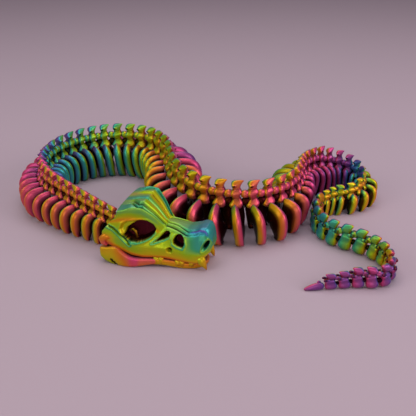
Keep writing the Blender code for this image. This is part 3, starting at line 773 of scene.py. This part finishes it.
def rib_values(k, side, hinge):
    """What one rib's point carries: its place, its size and its colour."""
    inward = k["turn"] * side > 0
    bend = abs(k["turn"])
    spread = at_link(RIB_SPREAD, k["index"])
    spread *= 1.0 - DRAWN_IN * bend if inward else 1.0 + SPREAD_OUT * bend
    # the neighbour that leaves less room at the inner edge
    compared = side * COMPARED_AT
    turn, gap = min(k["beside"], key=lambda b: b[1] - math.radians(b[0]) * compared * k["height"])
    wider = 0.0 if inward or hinge else math.radians(bend) * WIDER_AT * k["height"]
    inner = (BY_HINGE_THICKNESS if hinge else INNER_THICKNESS) * k["spacing"] + wider
    shift = at_link(LEFT_SHIFT, k["index"]) if side > 0 else 0.0
    way = math.radians(k["heading"])
    return {
        "height": k["height"] * MM,
        "spread": spread,
        "lean": side * at_link(RIB_LEAN, k["index"]) * k["height"] * MM,
        "depth_size": RIB_DEPTH * spread * k["height"] * MM,
        "spacing": k["spacing"] * MM,
        "closing": math.radians(bend) if inward else 0.0,
        "thickness": RIB_THICKNESS * k["spacing"] * MM,
        "inner_thickness": inner * MM,
        "inner_gap": gap * MM,
        "inner_closing": math.radians(turn) * side,
        "sweep_share": min(1.0, k["height"] / FULL_SWEEP_HEIGHT),
        "drift": at_link(RIB_START, k["index"]) + shift,
        "shade": at_link(RIB_SHADE, k["index"]),
        "origin": (k["x"] * MM, k["y"] * MM, 0.0),
        "back_way": (math.cos(way), math.sin(way), 0.0),
        "out_way": (-side * math.sin(way), side * math.cos(way), 0.0),
    }


def set_ribs(name, node, links):
    """One mesh of all the ribs of a length."""
    # the ribs beside a hinge stay slimmer, so that the next length can turn
    hinges = (links[0]["index"], links[-1]["index"])
    ribs = [rib_values(k, side, k["index"] in hinges) for k in links for side in (1, -1)]
    values = {key: [rib[key] for rib in ribs] for key in ribs[0]}
    holder = points_with(name, [(0.0, 0.0, 0.0)] * len(ribs), values)
    grown(holder, ribs_on_links, {"Blade": blade, "Silk": chain_silk, **RIB_SHAPE})
    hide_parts(node)
    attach(holder, node)


for length_name, links in length_links.items():
    ribbed = [k for k in links if 1 <= k["index"] <= LAST_RIBBED]
    if ribbed:
        set_ribs("ribs_" + length_name, length_name, ribbed)

# ---- Tail links ----------------------------------------------------------------------------
# Behind the last rib the links are small lobed lumps: a wedge cap, a narrow waist, wide
# shoulders and a rounded foot that stands on the table. The last one runs out to a point.
TAIL_SPACING, TAIL_HEIGHT = 7.0, 14.0
# a link is a little higher and wider than its share of the course's height
TAIL_RISE, TAIL_WIDER = 1.06, 0.12
# link, and least height there
LAST_HEIGHTS = ((68, 0.0), (69, 11.0), (72, 8.4))
# the same values as in the table of the vertebrae
TAIL_ROWS = (
    (0.0, -1.5, 1.3, 1.0, 1.3, 0.9, 0.4),
    (0.7, -2.6, 2.2, 1.8, 2.3, 1.6, 0.2),
    (2.2, -3.4, 2.8, 2.6, 3.5, 2.2, 0.0),
    (3.8, -3.5, 3.0, 2.4, 3.5, 2.3, 0.0),
    (5.2, -2.8, 2.6, 2.0, 2.5, 2.2, 0.1),
    (6.6, -2.2, 3.0, 2.2, 2.4, 3.0, 0.0),
    (8.0, -2.2, 3.5, 2.8, 2.9, 3.7, 0.0),
    (8.9, -1.7, 2.6, 1.9, 1.7, 2.5, 0.4),
    (9.7, -1.3, 1.3, 1.1, 1.0, 1.1, 0.6),
    (10.5, -2.2, 1.7, 2.0, 1.5, 1.3, 0.0),
    (11.8, -2.8, 2.2, 2.7, 1.9, 1.6, 0.0),
    (13.1, -1.9, 2.9, 1.9, 1.6, 1.5, 0.0),
    (14.3, -1.3, 3.0, 0.9, 0.8, 0.7, 0.0),
)
TAIL_CAP_FROM, TAIL_CAP_TINT = 9.0, -0.02
# centre and radius of the ball in front, of the neck below it, which has painted shade, and of the two
# arms behind, which hold the next link's ball; a radius below zero turns the stalk to the front
TAIL_BALL, TAIL_NECK = ((-3.9, 0.0, 9.6), 1.55), ((-3.7, 0.0, 5.2), 1.5)
TAIL_ARMS = (((3.3, 2.3, 9.4), -0.95), ((3.3, -2.3, 9.4), -0.95))
TAIL_STALK_END = -1.0
# painted shade: the arms' ends lie in the shade of the next link
TAIL_ARM_PAINTED_SHADE = 0.6
tail_cage = loft(TAIL_ROWS, "tail_cage", TAIL_CAP_FROM, TAIL_CAP_TINT)
add_ball(tail_cage, *TAIL_BALL, TAIL_STALK_END)
add_ball(tail_cage, *TAIL_NECK, TAIL_STALK_END, painted_shade=1.0)
for tail_arm in TAIL_ARMS:
    add_ball(tail_cage, *tail_arm, -TAIL_STALK_END, painted_shade=TAIL_ARM_PAINTED_SHADE, stalk_painted_shade=0.0)
tail_shape = rounded(tail_cage, 2, "tail_shape")


def set_tail_links(name, node, links):
    """One mesh of all the plain links of a length."""
    sizes = []
    for k in links:
        high = max(TAIL_RISE * k["height"], at_link(LAST_HEIGHTS, k["index"]))
        wide = min(1.0, k["height"] / TAIL_HEIGHT + TAIL_WIDER)
        sizes.append((k["spacing"] / TAIL_SPACING, wide, high / TAIL_HEIGHT))
    holder = points_with(name, [(k["x"] * MM, k["y"] * MM, 0.0) for k in links], {
        "heading": [math.radians(k["heading"]) for k in links],
        "size": sizes,
        "drift": [k["drift"] for k in links],
    })
    grown(holder, link_repeat, {"Shape": tail_shape, "Silk": chain_silk})
    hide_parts(node)
    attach(holder, node)


for length_name, links in length_links.items():
    plain = [k for k in links if LAST_RIBBED < k["index"] < len(course) - 1]
    if plain:
        set_tail_links("tail_links_" + length_name, length_name, plain)

# ---- Tip of the tail -----------------------------------------------------------------------
# The last link is a smooth cone with one small fin, hung on the link before it.
# front to rear: place along, half width, underside, top
TIP_ROWS = (
    (-3.6, 0.5, 1.6, 2.6), (-2.9, 1.25, 0.4, 3.9), (-1.6, 1.45, 0.0, 4.3), (0.6, 1.4, 0.0, 3.9),
    (3.0, 1.25, 0.0, 3.0), (5.0, 0.85, 0.1, 2.0), (6.3, 0.45, 0.3, 1.3),
)
# makes up for what the smoothing takes off
TIP_SWELL = 1.08
FIN, FIN_HALF = ((-2.2, 3.4), (-1.9, 5.2), (0.2, 5.6), (0.4, 3.4)), 0.45
tip_points = []
for along, half, low, high in TIP_ROWS:
    for k in range(8):
        turn = math.pi * (k + 0.5) / 4
        up = (low + high) / 2 + (high - low) / 2 * math.sin(turn) * TIP_SWELL
        tip_points.append((along * MM, half * math.cos(turn) * TIP_SWELL * MM, up * MM))
for half in (-FIN_HALF, FIN_HALF):
    tip_points += [(along * MM, half * MM, up * MM) for along, up in FIN]
tip_faces = tube_faces(len(TIP_ROWS), 8) + tube_faces(2, len(FIN), start=8 * len(TIP_ROWS))
tip_cage = bpy.data.meshes.new("tip_cage")
tip_cage.from_pydata(tip_points, [], tip_faces)
tip_shape = rounded(tip_cage, 2, "tip_shape")
tip_link = course[-1]
holder = points_with("tail_tip", [(tip_link["x"] * MM, tip_link["y"] * MM, 0.0)], {
    "heading": [math.radians(tip_link["heading"])],
    "size": [(1.0, 1.0, 1.0)],
    "drift": [tip_link["drift"]],
})
grown(holder, link_repeat, {"Shape": tip_shape, "Silk": chain_silk})
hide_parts("tail_3")
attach(holder, "tail_3")

# ---- Skull ---------------------------------------------------------------------------------
# The skull is one printed shell: a banded crest over two brow plates, deep eye sockets, three
# openings in each side, a rounded snout with raised nostrils, and a curved fang each side.
SKULL_PLACE = (-41.9, -41.8)
SKULL_TURN = math.radians(-17.0)
# forward, then half width and height of the crest, the brow's upper and lower edge, cheek, lip
SKULL_ROWS = np.array((
    (3.0, 8.0, 27.5, 13.6, 27.0, 13.6, 24.0, 14.6, 18.5, 13.6, 13.2),
    (8.0, 9.0, 31.6, 14.8, 30.8, 13.6, 25.6, 15.2, 15.8, 14.2, 10.6),
    (14.0, 9.0, 33.2, 14.0, 31.6, 12.6, 26.4, 15.3, 12.8, 14.0, 7.6),
    (20.0, 8.0, 34.0, 12.6, 31.8, 11.0, 26.2, 14.0, 12.0, 13.0, 6.3),
    (25.0, 6.0, 28.8, 9.8, 27.2, 9.2, 21.8, 12.4, 12.0, 11.6, 6.2),
    (29.6, 4.0, 22.2, 6.6, 20.8, 7.4, 17.6, 10.9, 11.5, 10.2, 5.8),
    (33.4, 4.0, 22.0, 6.8, 20.0, 8.0, 17.2, 10.2, 10.8, 9.6, 5.2),
    (41.0, 4.2, 20.6, 7.2, 18.4, 8.2, 16.4, 9.9, 9.8, 9.2, 4.3),
    (45.6, 4.6, 21.3, 7.6, 19.0, 8.4, 16.6, 9.6, 9.4, 8.9, 3.9),
    (48.0, 4.6, 22.6, 7.6, 20.4, 8.4, 17.4, 9.3, 9.2, 8.7, 3.9),
    (50.8, 4.2, 23.0, 6.8, 20.6, 7.6, 17.2, 8.4, 9.2, 7.8, 4.2),
    (52.6, 3.2, 21.4, 5.2, 18.8, 6.0, 15.6, 6.6, 9.2, 5.8, 5.4),
    (53.6, 1.8, 17.4, 3.2, 15.4, 3.8, 13.0, 4.2, 9.4, 3.6, 7.2),
))
SKULL_REAR, SKULL_NOSE, STATIONS = 3.0, 53.6, 190
# fine steps between one corner of a row and the next
CORNER_STEPS = (18, 12, 12, 26, 16, 9, 8)
# the middle of the crest stands a little higher than its edge
CREST_RISE = 0.3
# the palate, which clears the lower jaw: forward, half width and height
PALATE = (
    (3.0, 9.0, 14.0, 20.0, 26.0, 33.0, 40.0, 46.5, 53.6),
    (11.0, 11.8, 11.6, 9.4, 7.2, 5.9, 5.2, 3.6, 3.0),
    (2.4, 1.8, 1.6, 1.6, 1.8, 1.8, 1.8, 3.6, 7.0),
)
# how far forward each corner stands at the rear end and at the nose
REAR_SLANT = (2.5, 2.5, 4.0, 1.0, -3.5, -4.5, -2.0, -2.0)
FRONT_SLANT = (0.0, 0.0, 0.2, 0.2, -0.8, -3.0, -3.4, -3.4)
# openings of one side, as outlines of forward and up
EYE = (
    (9.0, 21.0), (10.0, 23.6), (12.5, 25.2), (19.5, 26.2), (22.5, 25.8), (25.2, 23.7), (26.4, 21.0),
    (25.8, 18.8), (24.0, 16.9), (21.0, 15.2), (17.3, 14.2), (13.6, 14.6), (10.8, 16.6),
)
EYE_SHELF = (
    (9.0, 20.5), (9.6, 23.0), (11.0, 24.8), (12.5, 25.6), (19.5, 26.8), (17.5, 24.6), (14.5, 22.6),
    (12.2, 20.8), (11.4, 18.2), (10.2, 16.8),
)
FRONT_NOTCH = (
    (24.8, 13.9), (27.9, 16.6), (30.6, 19.6), (32.2, 19.9), (33.2, 18.8), (32.4, 16.6), (30.0, 15.2),
)
SNOUT_WINDOW = (
    (37.0, 19.0), (38.6, 19.3), (40.2, 17.4), (40.8, 14.2), (39.8, 12.0), (37.1, 12.5), (34.9, 13.6),
    (34.6, 15.5), (35.6, 17.8),
)
# outline, how deep it goes in, and how far its rim stands out
OPENINGS = ((EYE, 6.5, 0.45), (FRONT_NOTCH, 4.0, 0.3), (SNOUT_WINDOW, 4.0, 0.35))
SMALL_HOLE, SMALL_HOLE_DEPTH = (33.2, 10.4), 2.2
CHEEK_DEPTH = 1.6
CHEEK_GROOVE = ((1.4, 22.0), (5.4, 20.7), (8.9, 18.2), (11.7, 15.5), (14.1, 13.2))
# the nostril's middle, the way of its long axis, and its half length and half width
NOSTRIL, NOSTRIL_WAY, NOSTRIL_SIZE = (51.2, 14.6), (0.45, 0.89), (2.9, 1.25)
NOSTRIL_DEPTH, NOSTRIL_RIM = 2.6, 0.5
# grooves of the crest, in shares of its half width: where the inner one lies, how far outside
# the middle one the outer one lies, and how wide they are; then the middle one from rear to front
INNER_GROOVE, OUTER_GROOVE, GROOVE_WIDTH = 0.24, 0.17, 0.055
MIDDLE_GROOVE = ((9.0, 0.40), (14.0, 0.42), (18.0, 0.66), (30.0, 0.66))
# grooves of the snout: forward, and distance from its middle line
SNOUT_GROOVES = (((30.0, 2.4), (36.0, 3.0), (43.0, 5.4)), ((30.0, 4.6), (36.0, 5.3), (43.0, 6.9)))
# places on the colour wheel: over the crest from right to left, in shares of its half width
CREST_BANDS = (
    (-1.05, 0.93), (-0.95, 0.88), (-0.88, 0.82), (-0.8, 0.86), (-0.7, 0.84), (-0.6, 0.90),
    (-0.45, 0.92), (-0.3, 0.93), (-0.22, 0.85), (-0.1, 0.84), (0.0, 0.91), (0.1, 0.97),
    (0.22, 0.99), (0.35, 0.94), (0.45, 0.91), (0.55, 0.85), (0.75, 0.80), (1.0, 0.84),
)
# ... along the snout's top, up the flank, and across the brow plate from its upper corner
SNOUT_TONES = ((30.0, 0.92), (38.0, 0.90), (43.0, 0.84), (47.0, 0.76), (54.0, 0.70))
FLANK_TONES = (
    (3.0, 1.06), (5.5, 1.03), (7.5, 0.985), (10.0, 0.955), (13.0, 0.94), (18.0, 0.93), (22.0, 0.95),
    (26.0, 0.97),
)
PLATE_TONES = ((1.9, 0.81), (2.1, 0.85), (2.3, 0.90), (2.5, 0.925), (2.75, 0.955), (3.0, 1.06))
# ... and of the nose, the eye's shelf, the painted shade at the bottoms of the openings and the rear
# wall
NOSE_TONE, SHELF_TONE, SHADED_HOLLOW_TONE, REAR_TONE = 0.81, 0.96, 1.27, 0.95


def ramp(x, low, high):
    """0 below low, 1 above high, smooth between."""
    t = np.clip((x - low) / (high - low), 0.0, 1.0)
    return t * t * (3.0 - 2.0 * t)


def bell(x, middle, width):
    """1 at the middle, falling off smoothly to both sides."""
    return np.exp(-((x - middle) / width) ** 2)


def smoothed(rows, times):
    """Evens out the rows between the first and the last, in place."""
    for _ in range(times):
        rows[1:-1] = (rows[:-2] + 2 * rows[1:-1] + rows[2:]) / 4
    return rows


def line_distance(points, x, y, closed=False):
    """Distance of each spot to a broken line."""
    pairs = list(zip(points, points[1:] + (points[:1] if closed else ())))
    best = np.full(np.shape(x), 1e9)
    for (ax, ay), (bx, by) in pairs:
        dx, dy = bx - ax, by - ay
        share = np.clip(((x - ax) * dx + (y - ay) * dy) / (dx * dx + dy * dy), 0.0, 1.0)
        best = np.minimum(best, np.hypot(x - ax - share * dx, y - ay - share * dy))
    return best


def outline_distance(points, x, y):
    """Distance to a closed outline: positive outside and negative inside."""
    inside = np.zeros(np.shape(x), dtype=bool)
    for (ax, ay), (bx, by) in zip(points, points[1:] + points[:1]):
        if ay == by:
            continue
        crosses = ((ay > y) != (by > y)) & (x < ax + (bx - ax) * (y - ay) / (by - ay))
        inside ^= crosses
    distance = line_distance(points, x, y, closed=True)
    return np.where(inside, -distance, distance)


def skull_half():
    """The plain shell's left half: corner that each line runs along, and forward, out and up."""
    spots = np.linspace(SKULL_REAR, SKULL_NOSE, STATIONS)
    rows = np.array([np.interp(spots, SKULL_ROWS[:, 0], SKULL_ROWS[:, c]) for c in range(1, 11)]).T
    corners = []
    for row, f in zip(smoothed(rows, 6), spots):
        crest, brow, under, cheek, lip = row.reshape(5, 2)
        palate_wide, palate_high = (np.interp(f, PALATE[0], PALATE[c]) for c in (1, 2))
        corners.append(((0.0, crest[1] + CREST_RISE), crest, brow, under, cheek, lip,
                        (min(0.80 * lip[0], palate_wide), palate_high), (0.0, palate_high)))
    corners = np.array(corners)
    last = len(CORNER_STEPS)
    shares = np.array([corner + i / count for corner, count in enumerate(CORNER_STEPS)
                       for i in range(count)] + [float(last)])
    low = np.minimum(shares.astype(int), last - 1)
    part = (shares - low)[None, :, None]
    half = corners[:, low] * (1 - part) + corners[:, low + 1] * part
    smoothed(half.swapaxes(0, 1), 5)
    slant = np.interp(shares, range(last + 1), REAR_SLANT) * (1 - ramp(spots, 3.0, 9.0))[:, None]
    slant = slant + np.interp(shares, range(last + 1), FRONT_SLANT) * ramp(spots, 45.0, 53.6)[:, None]
    return shares, spots[:, None] + slant, half[..., 0], half[..., 1]


def skull_openings(f, z):
    """What is pressed into a side: depth, painted shade, rim and painted highlight on the lower edge;
    the shelf; the nostril.
    """
    press, painted_shade, rim, painted_rim_light = (np.zeros_like(z) for _ in range(4))
    for outline, deep, edge in OPENINGS:
        away = outline_distance(outline, f, z)
        press = np.maximum(press, deep * (1 - ramp(away, -0.9, 0.0)))
        # painted shade inside each opening
        painted_shade = np.maximum(painted_shade, 1.0 - ramp(away, -0.6, 0.1))
        rim += edge * bell(away, 0.5, 0.55)
        # painted highlight: only the lower part of an edge catches the light
        heights = [up for _, up in outline]
        lower_part = 1 - ramp(z, min(heights) + 1.0, np.mean(heights) + 1.0)
        painted_rim_light = np.maximum(painted_rim_light, bell(away, 0.35, 0.4) * lower_part)
    shelf = 1 - ramp(outline_distance(EYE_SHELF, f, z), -0.5, 0.1)
    press = press * (1 - 0.68 * shelf)
    painted_shade = painted_shade * (1 - 0.85 * shelf)
    hole = np.hypot(f - SMALL_HOLE[0], z - SMALL_HOLE[1])
    press = np.maximum(press, SMALL_HOLE_DEPTH * (1 - ramp(hole, 0.7, 1.8)))
    # painted shade in the small hole
    painted_shade = np.maximum(painted_shade, 0.8 * (1 - ramp(hole, 0.4, 1.6)))
    groove = line_distance(CHEEK_GROOVE, f, z)
    press = np.maximum(press, CHEEK_DEPTH * (1 - ramp(groove, 0.2, 0.95)))
    # painted shade in the cheek groove
    painted_shade = np.maximum(painted_shade, 0.75 * (1 - ramp(groove, 0.15, 0.8)))
    rim += 0.3 * bell(groove, 1.0, 0.4)
    # painted highlight along the cheek groove's edge
    painted_rim_light = np.maximum(painted_rim_light, 0.8 * bell(groove, 1.05, 0.4))
    # nostril: a slanted oval with a raised rim
    a, b = f - NOSTRIL[0], z - NOSTRIL[1]
    along = a * NOSTRIL_WAY[0] + b * NOSTRIL_WAY[1]
    across = a * NOSTRIL_WAY[1] - b * NOSTRIL_WAY[0]
    oval = np.hypot(along / NOSTRIL_SIZE[0], across / NOSTRIL_SIZE[1])
    press = np.maximum(press, NOSTRIL_DEPTH * (1 - ramp(oval, 0.6, 1.05)))
    # painted shade inside the nostril
    painted_shade = np.maximum(painted_shade, 1 - ramp(oval, 0.5, 1.0))
    rim += NOSTRIL_RIM * bell(oval, 1.35, 0.22)
    return press, painted_shade, rim, np.clip(painted_rim_light, 0, 1), shelf, oval


def round_the_shell(left, right):
    """The left half from the top's middle to the palate, then the right half back up."""
    return np.concatenate([left, right[:, -2:0:-1]], axis=1)


def skull_mesh():
    """The shell as a fine net of stations and corners, with its openings pressed in."""
    shares, f, y, z = skull_half()
    on_side = ramp(shares, 2.0, 2.4) * (1 - ramp(shares, 4.9, 5.1))
    on_top = 1 - ramp(shares, 2.0, 2.2)
    press, painted_shade, rim, painted_rim_light, shelf, oval = skull_openings(f, z)
    # painted shade: the palate lies in shadow behind the nose
    painted_shade = np.maximum(painted_shade, ramp(shares, 5.0, 5.3) * (1 - ramp(f, 47.0, 51.0)))
    y = np.maximum(y - press * on_side + rim * on_side, 0.4 * y)
    # bands of the crest: grooves that follow its outline, and the outer bands lie higher
    q = y / np.interp(f, SKULL_ROWS[:, 0], SKULL_ROWS[:, 3])
    middle = read_table(MIDDLE_GROOVE, f)
    grooves = bell(q, INNER_GROOVE, GROOVE_WIDTH)
    grooves += 1.2 * bell(q, middle, GROOVE_WIDTH)
    grooves += 1.4 * bell(q - middle, OUTER_GROOVE, GROOVE_WIDTH)
    lift = 1.1 * ramp(q, middle + 0.2, middle + 0.3)
    lift += 0.6 * ramp(q, 0.28, 0.34) * (1 - ramp(q, middle - 0.1, middle))
    back_part = ramp(f, 9.0, 16.0) * (1 - ramp(f, 29.5, 31.0))
    z = z + (lift - grooves) * back_part * on_top
    # painted shade in the crest's grooves
    painted_shade = np.maximum(painted_shade, 0.62 * np.clip(grooves, 0, 1) * back_part * on_top)
    for snout_groove in SNOUT_GROOVES:
        line = bell(y, read_table(snout_groove, f), 0.5)
        line = line * ramp(f, 29.5, 30.5) * (1 - ramp(f, 41.0, 44.0))
        z = z - 0.9 * line * on_top
        # painted shade in the snout's grooves
        painted_shade = np.maximum(painted_shade, 0.75 * line * on_top)
    # a thin ridge runs along each edge of the snout to the nose
    ridge = bell(y, 5.9, 0.45) * ramp(f, 41.5, 44.0) * (1 - ramp(f, 51.5, 52.6)) * on_top
    z = z + 0.45 * ridge

    # colour: bands on top, which differ from left to right, then the snout's top
    side = np.array((1, -1))[:, None, None]
    snout = ramp(f, 28.5, 30.5)
    top = read_table(CREST_BANDS, side * q) * (1 - snout) + read_table(SNOUT_TONES, f) * snout
    # below the brow by height, with a warmer rear edge and a turquoise nose
    below = read_table(FLANK_TONES, z)
    below += 0.12 * (1 - ramp(f, 2.0, 8.0)) * (1 - ramp(z, 15.0, 20.0))
    nose = ramp(f, 40.0, 49.0) * ramp(z, 8.0, 13.5)
    below = below * (1 - nose) + NOSE_TONE * nose
    # the brow plate runs from teal on top to orange over the eye
    on_plate = (1 - ramp(shares, 3.0, 3.2)) * (1 - ramp(f, 26.0, 29.0))
    below = below * (1 - on_plate) + read_table(PLATE_TONES, shares) * on_plate
    upper = 1 - ramp(shares, 1.95, 2.35)
    tint = top * upper + below * (1 - upper)
    # painted highlight: the lit lower edges of the openings move on the colour wheel
    tint = tint - 0.10 * painted_rim_light * on_side
    tint = tint + (SHELF_TONE - tint) * shelf * on_side
    tint = tint + 0.05 * bell(oval, 1.3, 0.25) * on_side
    tint = tint - 0.15 * ridge
    # painted shade: the bottoms of the openings are tinted maroon; and the lip's edge is more orange
    tint = tint + (SHADED_HOLLOW_TONE - tint) * ramp(painted_shade, 0.75, 1.0) * (1 - ramp(f, 44.0, 47.0)) * on_side
    tint = tint + 0.09 * ramp(shares, 4.70, 4.98)

    net = round_the_shell(np.stack([f, y, z], -1), np.stack([f, -y, z], -1))
    tints = round_the_shell(*tint).ravel().tolist()
    painted_shades = round_the_shell(painted_shade, painted_shade).ravel().tolist()
    long, around = net.shape[:2]
    points = net.reshape(-1, 3).tolist()
    faces = []
    for i in range(long - 1):
        for j in range(around):
            k = (j + 1) % around
            faces.append((i * around + j, (i + 1) * around + j, (i + 1) * around + k, i * around + k))
    # rear wall and nose end, closed by shrinking rings: first point, bulge and tone
    for base, pull, tone in ((0, -0.8, REAR_TONE), ((long - 1) * around, 0.5, NOSE_TONE)):
        ring = range(base, base + around)
        edge = np.array(points[base:base + around])
        centre = edge.mean(axis=0)
        for share in (0.75, 0.5, 0.25, 0.08):
            inner = range(len(points), len(points) + around)
            points += (centre + (edge - centre) * share + (pull * (1 - share), 0.0, 0.0)).tolist()
            tints += [tone + (tints[v] - tone) * share ** 3 for v in ring]
            painted_shades += [0.0] * around
            faces += [(ring[j - 1], ring[j], inner[j], inner[j - 1]) for j in range(around)]
            ring = inner
        faces.append(tuple(ring))
    return points, faces, tints, painted_shades


def skull_to_row(points):
    """From the skull's own directions to the toy's, in metres."""
    p = np.array(points)
    c, s = math.cos(SKULL_TURN), math.sin(SKULL_TURN)
    x = SKULL_PLACE[0] + p[:, 0] * c - p[:, 1] * s
    y = SKULL_PLACE[1] + p[:, 0] * s + p[:, 1] * c
    return np.stack([x, y, np.maximum(p[:, 2], 0.0)], -1) * MM


def add_spike(parts, path, radii, tones, flat, painted_shade=0.0, around=10):
    """A tapering rod along a path, as one more shell with some painted shade; parts holds points,
    faces, tints and painted shades.
    """
    points, faces, tints, painted_shades = parts
    faces += tube_faces(len(path), around, start=len(points))
    path = np.array(path, dtype=float)
    for i, (spot, radius) in enumerate(zip(path, radii)):
        way = path[min(i + 1, len(path) - 1)] - path[max(i - 1, 0)]
        way = way / np.linalg.norm(way)
        side = np.cross(way, (0.0, 1.0, 0.0))
        side = side / np.linalg.norm(side)
        across = np.cross(side, way) * flat
        for k in range(around):
            turn = 2 * math.pi * k / around
            points.append((spot + radius * (side * math.cos(turn) + across * math.sin(turn))).tolist())
            tints.append(tones[0] + (tones[1] - tones[0]) * i / (len(path) - 1))
            painted_shades.append(painted_shade)


def finished(name, parts, material, node, body):
    """A piece from its net, with its colours and painted shade, riding on its body."""
    points, faces, tints, painted_shades = parts
    mesh = bpy.data.meshes.new(name)
    mesh.from_pydata(skull_to_row(points).tolist(), [], faces)
    mesh.attributes.new("drift", "FLOAT", "POINT").data.foreach_set("value", tints)
    # painted shade, by which the silk darkens
    mesh.attributes.new("depth", "FLOAT", "POINT").data.foreach_set("value", painted_shades)
    bm = bmesh.new()
    bm.from_mesh(mesh)
    bmesh.ops.recalc_face_normals(bm, faces=bm.faces)
    bm.to_mesh(mesh)
    bm.free()
    mesh.shade_smooth()
    mesh.materials.append(material)
    piece = bpy.data.objects.new(name, mesh)
    bpy.context.scene.collection.objects.link(piece)
    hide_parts(node)
    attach(piece, body)
    return piece


# path on the left side, radii, tones of both ends, flatness, and how much shade is painted on it
FANG = (((48.0, 7.0, 7.4), (49.4, 7.3, 5.0), (50.7, 7.1, 2.8), (51.6, 6.8, 0.6)),
        (3.0, 2.3, 1.35, 0.3), (0.98, 1.06), 0.7, 0.0)
REAR_HOOK = (((3.6, 13.2, 15.4), (0.6, 13.6, 15.2), (-1.2, 13.8, 13.4), (-0.8, 13.7, 11.3),
              (1.2, 13.5, 10.2)), (1.7, 2.0, 2.0, 1.5, 0.8), (1.06, 1.22), 0.8, 0.0)
# the bent strut inside the eye socket
EYE_STRUT = (((13.0, 9.4, 18.6), (14.4, 9.8, 19.6), (15.8, 10.0, 18.6), (16.6, 10.0, 15.2)),
             (0.5, 0.7, 0.7, 0.6), (1.02, 1.08), 0.8, 0.47)
skull_parts = skull_mesh()
for side in (1, -1):
    for path, *spike_look in (FANG, REAR_HOOK, EYE_STRUT):
        add_spike(skull_parts, [(f, side * y, z) for f, y, z in path], *spike_look)
finished("skull_shell", skull_parts, skull_silk, "skull", "skull")

# ---- Lower jaw -----------------------------------------------------------------------------
# The lower jaw is a bent bar, deep behind and thin in front, with a slot in its rear lobe
# and a row of blunt teeth; it is fixed under the skull.
# forward, half width, underside and top
JAW_ROWS = np.array((
    (-3.0, 12.8, 4.2, 8.2),
    (-1.5, 13.0, 1.8, 8.9),
    (1.0, 13.2, 0.6, 9.0),
    (4.0, 13.6, 0.0, 10.2),
    (6.5, 13.9, 0.0, 10.4),
    (9.0, 14.2, 0.0, 8.6),
    (14.0, 14.2, 0.0, 5.2),
    (20.0, 11.8, 1.0, 4.9),
    (26.0, 9.6, 1.9, 4.8),
    (33.0, 8.2, 0.8, 4.3),
    (40.0, 7.4, 0.0, 3.4),
    (46.5, 5.0, 0.0, 2.9),
    (49.6, 1.8, 0.6, 2.9),
))
# round the bar: share of its half thickness there, and share of its height
JAW_SECTION = (
    (-0.55, 1.0), (-0.86, 0.95), (-0.97, 0.86), (-1.0, 0.74), (-1.0, 0.62), (-1.0, 0.5), (-1.0, 0.38),
    (-0.97, 0.26), (-0.92, 0.16), (-0.8, 0.06), (-0.55, 0.0), (0.55, 0.0), (0.92, 0.14), (1.0, 0.5),
    (0.95, 0.86), (0.55, 1.0),
)
JAW_STATIONS, BAR_HALF = 90, 1.75
JAW_SLOT, SLOT_DEPTH = ((3.6, 2.6), (6.3, 0.5)), 0.6
# forward, and place on the colour wheel
JAW_TONES = (
    (0.0, 1.02), (5.0, 1.03), (7.5, 1.07), (10.0, 1.11), (12.5, 1.16), (14.0, 1.25), (16.5, 1.27),
    (18.0, 1.17), (22.0, 1.18), (25.0, 1.22), (26.5, 1.06), (50.0, 1.08),
)
# forward, half width and top of the blunt teeth, some of them side by side
TEETH = ((26.0, 10.0, 5.6), (28.4, 9.5, 5.6), (36.8, 8.2, 4.6), (39.0, 7.9, 4.6), (43.6, 6.7, 4.2))


def jaw_mesh():
    """One section carried along the left side, round the chin and back along the right."""
    stations = np.linspace(0, len(JAW_ROWS) - 1, JAW_STATIONS)
    left = np.array([np.interp(stations, range(len(JAW_ROWS)), JAW_ROWS[:, c]) for c in range(4)]).T
    right = smoothed(left, 8)[::-1] * (1, -1, 1, 1)
    whole = smoothed(np.concatenate([left, right]), 10)
    ways = np.gradient(whole[:, :2], axis=0)
    ways /= np.linalg.norm(ways, axis=1)[:, None]
    points, tints, painted_shades = [], [], []
    for i, ((f, y, low, high), (wf, wy)) in enumerate(zip(whole, ways)):
        # thinner towards both ends
        end = min(i, len(whole) - 1 - i)
        thick = BAR_HALF * min(1.0, 0.45 + 0.2 * end)
        for across, rise in JAW_SECTION:
            z = low + (high - low) * rise
            # the slot is in the outer face only, and shade is painted in it
            slot = 0.0
            if across < 0:
                slot = 1 - ramp(line_distance(JAW_SLOT, np.array(f), np.array(z)), 0.4, 1.0)
            half = across * thick + SLOT_DEPTH * slot
            points.append([f + wy * half, y - wf * half, z])
            tints.append(float(read_table(JAW_TONES, f)) + 0.10 * (rise - 0.6))
            painted_shades.append(float(slot))
    return points, tube_faces(len(whole), len(JAW_SECTION)), tints, painted_shades


jaw_parts = jaw_mesh()
for side in (1, -1):
    for f, y, high in TEETH:
        tooth = ((f, side * (y + 0.2), 1.8), (f + 0.1, side * (y + 0.3), high - 0.6),
                 (f + 0.2, side * (y + 0.2), high))
        add_spike(jaw_parts, tooth, (1.7, 1.6, 1.1), (1.04, 0.99), 0.8)
finished("jaw_bar", jaw_parts, skull_silk, "lower_jaw", "skull")
